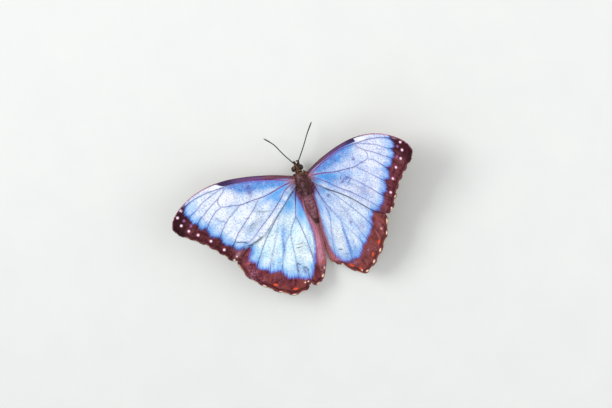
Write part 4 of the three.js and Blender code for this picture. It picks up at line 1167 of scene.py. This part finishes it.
for name, wing, side, veins in WINGS:
    kind, hind = name.split("_")[0], name.startswith("hind")
    bpy.ops.object.select_all(action="DESELECT")
    bpy.ops.mesh.primitive_grid_add(x_subdivisions=ACROSS, y_subdivisions=ALONG, size=1)
    sheet = bpy.context.object
    sheet.name = f"{name}_membrane"
    flat = points_of(sheet)
    u, v = 0.5 + side * flat[:, 0], flat[:, 1] + 0.5
    places = wing_places(wing, u, v)
    plan = places[:, :2]
    wing_lines = {vein: smooth_path(np.array(corners), VEIN_STEPS) for vein, corners, _, _ in veins}
    vein_near = np.min([distance_to_line(plan, line[::3]) for line in wing_lines.values()], axis=0)
    places[:, 2] += 0.10 * np.exp(-((vein_near / 0.5) ** 2))
    places[:, 2] += 0.05 * np.sin(2 * pi * BAYS * u) * soft(v, 0.15, 0.6)
    sheet.data.vertices.foreach_set("co", wing_to_scene(places, side, hind).astype(np.float32).ravel())
    sheet.data.update()

    border = np.array(BLUE_ENDS[name])
    depth = distance_to_line(plan, border)
    depth = np.where(inside(plan, np.vstack([border, BLUE_BEHIND[name]])), depth, -depth)
    edge_line = wing_places(wing, np.linspace(0, 1, 200), np.ones(200))[:, :2]
    root_to_edge = np.linspace(0, 1, 160)
    front_line = wing_places(wing, np.zeros(160), root_to_edge)[:, :2]
    edge_in = distance_to_line(plan, edge_line)
    front_in = distance_to_line(plan, front_line)
    marks = {"vein_near": vein_near, "edge_in": edge_in, "reach": v}
    a, b = plan.T
    if not hind:
        cut = 33.6 + 1.6 * (b - 8.6) - a if side < 0 else 32.0 - 0.4 * (b - 8) - a
        band = np.minimum(costal_width(a, side) - front_in, cut * 0.8)
        marks["costal"] = np.maximum(band, 0.46 - front_in)
        marks["front_line"] = soft(a, 32.5, 34.5) * (1 - soft(front_in, 0.6, 0.8))
        marks["front_in"] = front_in
        marks["costal_mauve"] = soft(a, 10, 16)
        marks["costal_dark"] = soft(a, 23, 29)
        marks["tip"] = soft(a + 0.5 * b, 47, 54)
        # Painted shadow along the curled rear edge of each forewing: on the left it is faint and thin near
        # the body and wider further out; it fades out near the root and before the rear corner.
        rear_line = wing_places(wing, np.ones(160), root_to_edge)[:, :2]
        curl_shadow_width = 0.22 + (0.68 * soft(a, 21, 25) if side < 0 else 0.38)
        curl = np.exp(-((distance_to_line(plan, rear_line) / curl_shadow_width) ** 4)) * soft(a, 2, 7)
        curl = curl * (1 - soft(a, 29.5 if side < 0 else 33, 34))
        marks["curl"] = curl * (0.2 + 0.8 * soft(a, 18, 24)) if side < 0 else curl
    else:
        inner = soft(u, 0.80, 0.86) * soft(-b, 7, 11) * (1 - soft(-b, 39.5, 43))
        marks["inner_side"] = soft(u, 0.64, 0.74) * (1 - soft(v, 0.72, 0.85))
        marks["inner_fold"] = inner
        # Painted shadow along the fold's crease, stronger on the right, and in the gap along the innermost
        # edge.
        fold_line = np.array([(-2.9, -20), (-3.9, -30), (-3.3, -38)])
        crease = np.exp(-((distance_to_line(plan, fold_line) / 0.4) ** 2)) * (0.8 if side > 0 else 0.4)
        inmost_shadow = soft(u, 0.966, 0.99) * soft(-b, 21, 24) * (1 - soft(-b, 36, 39))
        marks["crease"] = np.maximum(crease, 0.95 * inmost_shadow)
    marks["blue_depth"] = depth
    marks["root"] = np.exp(-((np.hypot(a + 0.3, (b + (4.2 if hind else 1.6)) * 0.6) / 3.1) ** 2))
    for tint, patches in TINTS[name].items():
        marks[tint] = clouds(plan, patches)

    sheet.data.materials.append(upper_finish(name, kind))
    sheet.data.materials.append(under_finish(name, kind))
    sheet.data.materials.append(wing_rim)
    wall = sheet.modifiers.new("membrane", "SOLIDIFY")
    wall.thickness = MEMBRANE * MM
    wall.offset = 0
    wall.material_offset = 1
    wall.material_offset_rim = 2
    select_only(sheet)
    bpy.ops.object.modifier_apply(modifier="membrane")
    bpy.ops.object.shade_smooth_by_angle(angle=radians(50))

    keep_value(sheet, "plan", twice(np.column_stack([plan, np.zeros(len(plan))])))
    keep_value(sheet, "lie", twice(np.column_stack([u, v, np.zeros(len(plan))])))
    for mark, amount in marks.items():
        keep_value(sheet, mark, twice(amount))

    # The upper side and the underside lie flat on the map, one beside the other.
    faces = len(sheet.data.polygons)
    material_of = np.empty(faces, np.int32)
    sheet.data.polygons.foreach_get("material_index", material_of)
    loops = np.empty(faces, np.int32)
    sheet.data.polygons.foreach_get("loop_total", loops)
    corner_material = np.repeat(material_of, loops)
    corner_point = np.empty(len(sheet.data.loops), np.int32)
    sheet.data.loops.foreach_get("vertex_index", corner_point)
    laid = twice(plan)[corner_point]
    lower = corner_point >= len(plan)
    start, span, shift = ((8.5, 53), 90, (0.5, 0.38)) if hind else ((1, 29.5), 80, (0.18, 0.5))
    flat_map = (laid + start) / span
    middle = plan.mean(0)
    outward = laid - middle
    outward /= np.linalg.norm(outward, axis=1, keepdims=True)
    flat_map += np.where((corner_material == 1)[:, None], shift, (0, 0))
    flat_map += np.where(((corner_material == 2) & lower)[:, None], outward * 0.004, 0)
    own_map = sheet.data.uv_layers.new(name="OFBake")
    own_map.data.foreach_set("uv", flat_map.astype(np.float32).ravel())
    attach(sheet, "root")
    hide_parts(name)
    wing_sheets[name] = (wing, side, hind)

    # Veins are thin tubes standing proud of both sides of the membrane.
    tubes = []
    for vein, corners, thick_start, thick_end in veins:
        line = wing_lines[vein]
        gaps = ((line[:, None] - plan[None]) ** 2).sum(2)
        close = np.argsort(gaps, axis=1)[:, :6]
        weight = 1 / (np.take_along_axis(gaps, close, 1) + 1e-4)
        height = (places[:, 2][close] * weight).sum(1) / weight.sum(1)
        height = np.convolve(np.pad(height, 3, mode="edge"), np.ones(7) / 7, mode="valid")
        near_depth = depth[close[:, 0]]
        radius = thick_start + (thick_end - thick_start) * np.linspace(0, 1, VEIN_STEPS) ** 0.7
        radius *= 1 + 0.35 * (1 - soft(near_depth, 0.5, 5)) * soft(near_depth, -1, 0)
        radius *= 1 - 0.5 * soft(np.linspace(0, 1, VEIN_STEPS), 0.95, 1.0)
        path = wing_to_scene(np.column_stack([line, height]), side, hind)
        tube = rod(path, radius, 6)
        spots = points_of(tube)
        nearest = np.argmin(((spots[:, None] - path[None]) ** 2).sum(2), axis=1)
        keep_value(tube, "share", np.linspace(0, 1, VEIN_STEPS)[nearest])
        lifted = (spots - path[nearest]) @ (-side * sin(DIHEDRAL), 0, cos(DIHEDRAL))
        keep_value(tube, "under", (lifted < 0).astype(float))
        keep_value(tube, "blue_depth", near_depth[nearest])
        keep_value(tube, "thick", np.full(len(spots), soft(thick_start, 0.14, 0.24)))
        keep_value(tube, "plan", np.column_stack([line[nearest], np.zeros(len(spots))]))
        tubes.append(tube)
    web = joined(f"{name}_veins", tubes)
    bpy.ops.object.shade_smooth()
    web.data.materials.append(vein_finish.material)
    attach(web, "root")


# ---- Fur: hair-like scales in thin locks over the skin, lying back along the body. It is longest
# ---- on the thorax, velvety on the abdomen, and short on the head, palps and forelegs.
fur_finish = Finish("fur")
fur_root = fur_finish.place("root")
lock = fur_finish.reading("lock")
fur_colour = body_colour(fur_finish, fur_root)
fur_colour = fur_finish.mix(lock.rise(0.6, 1.0) * 0.25, fur_colour, paint("B07A80"))
fur_colour = fur_finish.mix(lock.fall(0.0, 0.4) * 0.3, fur_colour, paint("2C1214"))
fur_colour = fur_finish.mix(fur_finish.reading("tip") * 0.15, fur_colour, paint("BC8C8E"))
fur_finish.set(Base_Color=fur_colour, Roughness=0.68, Specular_IOR_Level=0.25)
fur_strands = fur_finish.noise(fur_root, 9.0, 1.0)
fur_finish.bump(fur_strands, 0.02 * MM, 0.4)


def unit(vectors):
    return vectors / np.maximum(1e-9, np.linalg.norm(vectors, axis=-1, keepdims=True))


LOCK_POINTS = 7


def tufts(name, roots, normals, lie, lengths, widths, lift, chart, marks, material, flat=1.0):
    """One mesh of many thin locks: roots in millimetres, each lock leaning along its lie."""
    count = len(roots)
    lie = unit(lie - (lie * normals).sum(1, keepdims=True) * normals)
    across = np.cross(lie, normals)
    lengths, widths, lift = (np.broadcast_to(x, count)[:, None] for x in (lengths, widths, lift))
    levels = []
    for share, swell in ((0.0, 0.8), (0.45, 1.0)):
        middle = roots + lie * lengths * share * np.cos(lift) + normals * lengths * (
            np.sin(lift) * (share - 0.45 * share**2) - 0.04 * (share == 0))
        for k in range(3):
            angle = 2 * pi * k / 3 + 0.5
            levels.append(middle + widths * swell * (across * cos(angle) + normals * sin(angle) * flat))
    levels.append(roots + lie * lengths * np.cos(lift) + normals * lengths * np.sin(lift) * 0.55)
    spots = np.stack(levels, 1).reshape(-1, 3)
    faces = [(0, 2, 1), (0, 1, 4, 3), (1, 2, 5, 4), (2, 0, 3, 5), (3, 4, 6), (4, 5, 6), (5, 3, 6)]
    corners = np.concatenate(faces)
    starts = np.cumsum([0] + [len(face) for face in faces])[:-1]
    first = np.arange(count)[:, None]
    mesh = bpy.data.meshes.new(name)
    mesh.vertices.add(count * LOCK_POINTS)
    mesh.vertices.foreach_set("co", to_scene(spots).astype(np.float32).ravel())
    mesh.loops.add(count * len(corners))
    mesh.loops.foreach_set("vertex_index", (first * LOCK_POINTS + corners).ravel().astype(np.int32))
    mesh.polygons.add(count * len(faces))
    mesh.polygons.foreach_set("loop_start", (first * len(corners) + starts).ravel().astype(np.int32))
    mesh.update(calc_edges=True)
    mesh.shade_smooth()
    piece = bpy.data.objects.new(name, mesh)
    bpy.context.scene.collection.objects.link(piece)
    keep_value(piece, "tip", np.tile([0, 0, 0, 0.45, 0.45, 0.45, 1.0], count))
    keep_value(piece, "lock", np.repeat(random.random(count), LOCK_POINTS))
    for mark, amount in marks.items():
        keep_value(piece, mark, np.repeat(amount, LOCK_POINTS, axis=0))
    # Each lock is a small patch on the map, at its root's place on the unrolled skin.
    patch = np.array([(cos(2 * pi * k / 3), sin(2 * pi * k / 3)) for k in range(3)])
    patch = np.vstack([patch * 0.0017, patch * 0.001, [(0, 0)]])
    spread = 0.004 + chart[:, None] * 0.992 + patch[None]
    own = mesh.uv_layers.new(name="OFBake")
    corner_places = spread.reshape(-1, 2)[(first * LOCK_POINTS + corners).ravel()]
    own.data.foreach_set("uv", corner_places.astype(np.float32).ravel())
    mesh.materials.append(material)
    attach(piece, "root")


def scatter(piece, count, weigh):
    """Places spread evenly over a piece's faces, as often as weigh asks, with their normals."""
    body_mesh = piece.data
    body_mesh.calc_loop_triangles()
    corners = np.empty(len(body_mesh.loop_triangles) * 3, np.int32)
    body_mesh.loop_triangles.foreach_get("vertices", corners)
    corners = from_hinge(points_of(piece))[corners.reshape(-1, 3)]
    cross = np.cross(corners[:, 1] - corners[:, 0], corners[:, 2] - corners[:, 0])
    chance = np.linalg.norm(cross, axis=1) * weigh(corners.mean(1))
    chosen = random.choice(len(corners), count, p=chance / chance.sum())
    s, t = random.random((2, count, 1))
    s, t = np.where(s + t > 1, 1 - s, s), np.where(s + t > 1, 1 - t, t)
    a, b, c = (corners[chosen, k] for k in range(3))
    return a + s * (b - a) + t * (c - a), unit(cross[chosen])


limb_lines = []
for side in (-1, 1):
    mirror = np.array([side, 1, 1])
    limb_lines.append(smooth_path(HEAD + np.array(PALP) * mirror, 40))
    limb_lines.append(smooth_path(np.array(FORELEG) * mirror + (BODY_SHIFT, 0, 0), 40))


def nearest_limb(spots):
    """For each place: its distance from the closest palp or foreleg, which one, and how far along."""
    gaps = np.stack([np.linalg.norm(spots[:, None] - line[None], axis=2) for line in limb_lines], 1)
    best = gaps.min(2).argmin(1)
    rows = np.arange(len(spots))
    return gaps[rows, best].min(1), best, gaps[rows, best].argmin(1)


def on_limb(spots):
    gap, _, along = nearest_limb(spots)
    return (gap < 0.5) & (along > 8)


def trunk_chart(spots, low, high):
    """Unrolled round the body's long axis."""
    turned = np.arctan2(spots[:, 0] + 0.4, -(spots[:, 2] + 0.3)) / (2 * pi) + 0.5
    return np.clip(np.column_stack([turned, (spots[:, 1] - low) / (high - low)]), 0, 1)


REGIONS = [
    # name, how many locks, rear end, front end, length, its spread, half width, lift in degrees
    ("thorax_fur", 15000, -9.4, 1.5, 0.85, 0.35, 0.042, 24),
    ("abdomen_fur", 13000, -23.4, -8.8, 0.52, 0.18, 0.040, 15),
    ("head_fur", 8000, 1.2, 6.0, 0.42, 0.2, 0.030, 30),
]
for name, count, low, high, length, spread, width, lift in REGIONS:
    def weigh(spots):
        return ((spots[:, 1] > low) & (spots[:, 1] < high) & ~on_limb(spots)).astype(float)
    roots, normals = scatter(body, count, weigh)
    lie = np.tile([0.0, -1.0, -0.12], (count, 1))
    lie[:, 0] += 0.16 * np.sign(roots[:, 0] + 0.3) * soft(np.abs(roots[:, 0] + 0.3), 0.2, 2)
    if name == "head_fur":
        # Hair on the crown stands up and forward between the feelers, and on the face lies down.
        forward = soft(roots[:, 1], 3.2, 4.8)
        lie[:, 1] += 1.5 * forward
        lie[:, 2] -= 0.6 * forward
    lie += random.normal(0, 0.16, (count, 3))
    lengths = length * (1 + spread * random.normal(0, 0.6, count))
    lifts = radians(lift) * (1 + 0.35 * random.normal(0, 1, count))
    if name == "head_fur":
        crown = np.exp(-(((roots[:, 1] - 4.9) / 0.8) ** 2)) * soft(roots[:, 2], 0.2, 1.2)
        lengths = lengths * (1 + 1.0 * crown)
        lifts = lifts + 0.6 * crown
    if name == "abdomen_fur":
        lengths = lengths * (1 + 2.2 * soft(-roots[:, 1], 21.3, 22.5))
    tufts(name, roots, normals, lie, np.maximum(0.15, lengths), width * (0.7 + 0.6 * random.random(count)),
          lifts, trunk_chart(roots, low, high), {"root": roots, **body_marks(roots)}, fur_finish.material)

roots, normals = scatter(body, 6000, lambda spots: on_limb(spots).astype(float))
_, which, along = nearest_limb(roots)
lines = np.array(limb_lines)
lie = lines[which, np.minimum(along + 1, 39)] - lines[which, np.minimum(along + 1, 39) - 1]
away = roots - lines[which, along]
limb_chart = np.column_stack([(which + 0.5 + 0.48 * np.arctan2(away[:, 0], away[:, 2]) / pi) / 4,
                              along / 40])
limb_marks = {"root": roots, **body_marks(roots)}
tufts("palp_and_foreleg_fur", roots, normals, unit(lie) + random.normal(0, 0.12, lie.shape),
      0.55 * (0.7 + 0.6 * random.random(6000)), 0.03, radians(32), limb_chart, limb_marks,
      fur_finish.material)


# ---- Long hair on the wings: brown and rose locks over the wing roots and down the inner folds of
# ---- the hindwings, and a short fringe along each outer edge, cream between the vein ends.
pile = Finish("wing_hair")
tone = pile.reading("tone")
pile_colour = pile.mix(tone.rise(0.0, 1.0), paint("54303A"), paint("C08A90"))
pile_colour = pile.mix(tone.rise(0.9, 1.8), pile_colour, paint("FFAEB6"))
pile_colour = pile.mix(pile.reading("cream"), pile_colour, paint("F0DCBC"))
pile_colour = pile.mix(pile.reading("lock").fall(0.0, 0.5) * 0.35, pile_colour, paint("3A2026"))
pile.set(Base_Color=pile_colour, Roughness=0.6)
pile.bump(pile.noise(pile.place("root"), 9.0, 1.0), 0.02 * MM, 0.4)


def wing_spots(name, at_u, at_v):
    """Places and upward normals on a finished wing, in millimetres."""
    wing, side, hind = wing_sheets[name]

    def raised(u, v):
        return from_hinge(wing_to_scene(wing_places(wing, u, v), side, hind))

    step = 0.004
    at = raised(at_u, at_v)
    rearward = raised(np.clip(at_u + step, 0, 1), at_v) - at
    inward = raised(at_u, np.clip(at_v - step, 0, 1)) - at
    up = unit(np.cross(rearward, inward))
    up *= np.sign(up[:, 2:])
    return at, up, -unit(inward)


ROOT_HAIRS = 900
FOLD_HAIRS = 2600
FRINGE_HAIRS = 900
HAIR_RADIUS = 0.035
for name, (_, side, hind) in wing_sheets.items():
    count = ROOT_HAIRS
    at_u, at_v = random.random(count), random.random(count) ** 1.6 * (0.03 if hind else 0.022)
    at, up, outward = wing_spots(name, at_u, at_v)
    down = random.random(count) < 0.4
    up = np.where(down[:, None], -up, up)
    at = at + up * MEMBRANE / 2
    lengths = (0.7 - 6 * at_v) * (0.6 + 0.6 * random.random(count))
    lie = outward + np.array([0, -0.35, 0]) + random.normal(0, 0.15, (count, 3))
    chart = np.column_stack([at_u * 0.49 + 0.5 * down, at_v / at_v.max()])
    root_marks = {"root": at, "tone": 0.6 * random.random(count), "cream": np.zeros(count)}
    tufts(f"{name}_root_hair", at, up, lie, lengths, HAIR_RADIUS, radians(14), chart, root_marks,
          pile.material)
    if hind:
        count = FOLD_HAIRS
        at_u, at_v = 1 - 0.16 * random.random(count) ** 1.3, 0.1 + 0.85 * random.random(count)
        at, up, outward = wing_spots(name, at_u, at_v)
        at = at + up * MEMBRANE / 2
        lie = outward + np.array([0.25 * side, 0, 0]) + random.normal(0, 0.1, (count, 3))
        lengths = 1.1 * (0.5 + 0.8 * random.random(count))
        chart = np.column_stack([(at_u - 0.83) / 0.17, (at_v - 0.1) / 0.85])
        fold_marks = {"root": at, "tone": 0.9 + 0.9 * random.random(count), "cream": np.zeros(count)}
        tufts(f"{name}_fold_hair", at, up, lie, lengths, HAIR_RADIUS, radians(10), chart, fold_marks,
              pile.material)
    count = FRINGE_HAIRS
    at_u = np.sort(random.random(count))
    at, up, outward = wing_spots(name, at_u, np.full(count, 0.9985))
    bay = np.sin(pi * BAYS * at_u) ** 2
    lengths = (0.42 + 0.2 * bay) * (0.7 + 0.6 * random.random(count))
    cream = soft(bay, 0.4, 0.75) * (0.6 + 0.4 * (random.random(count) > 0.25))
    if not hind:
        cream = cream * soft(at_u, 0.04, 0.12)
    lie = outward + random.normal(0, 0.12, (count, 3))
    chart = np.column_stack([at_u, random.random(count)])
    fringe_marks = {"root": at, "tone": 0.3 * random.random(count), "cream": cream}
    tufts(f"{name}_fringe", at, up, lie, lengths, 0.075, radians(2), chart, fringe_marks, pile.material,
          0.5)
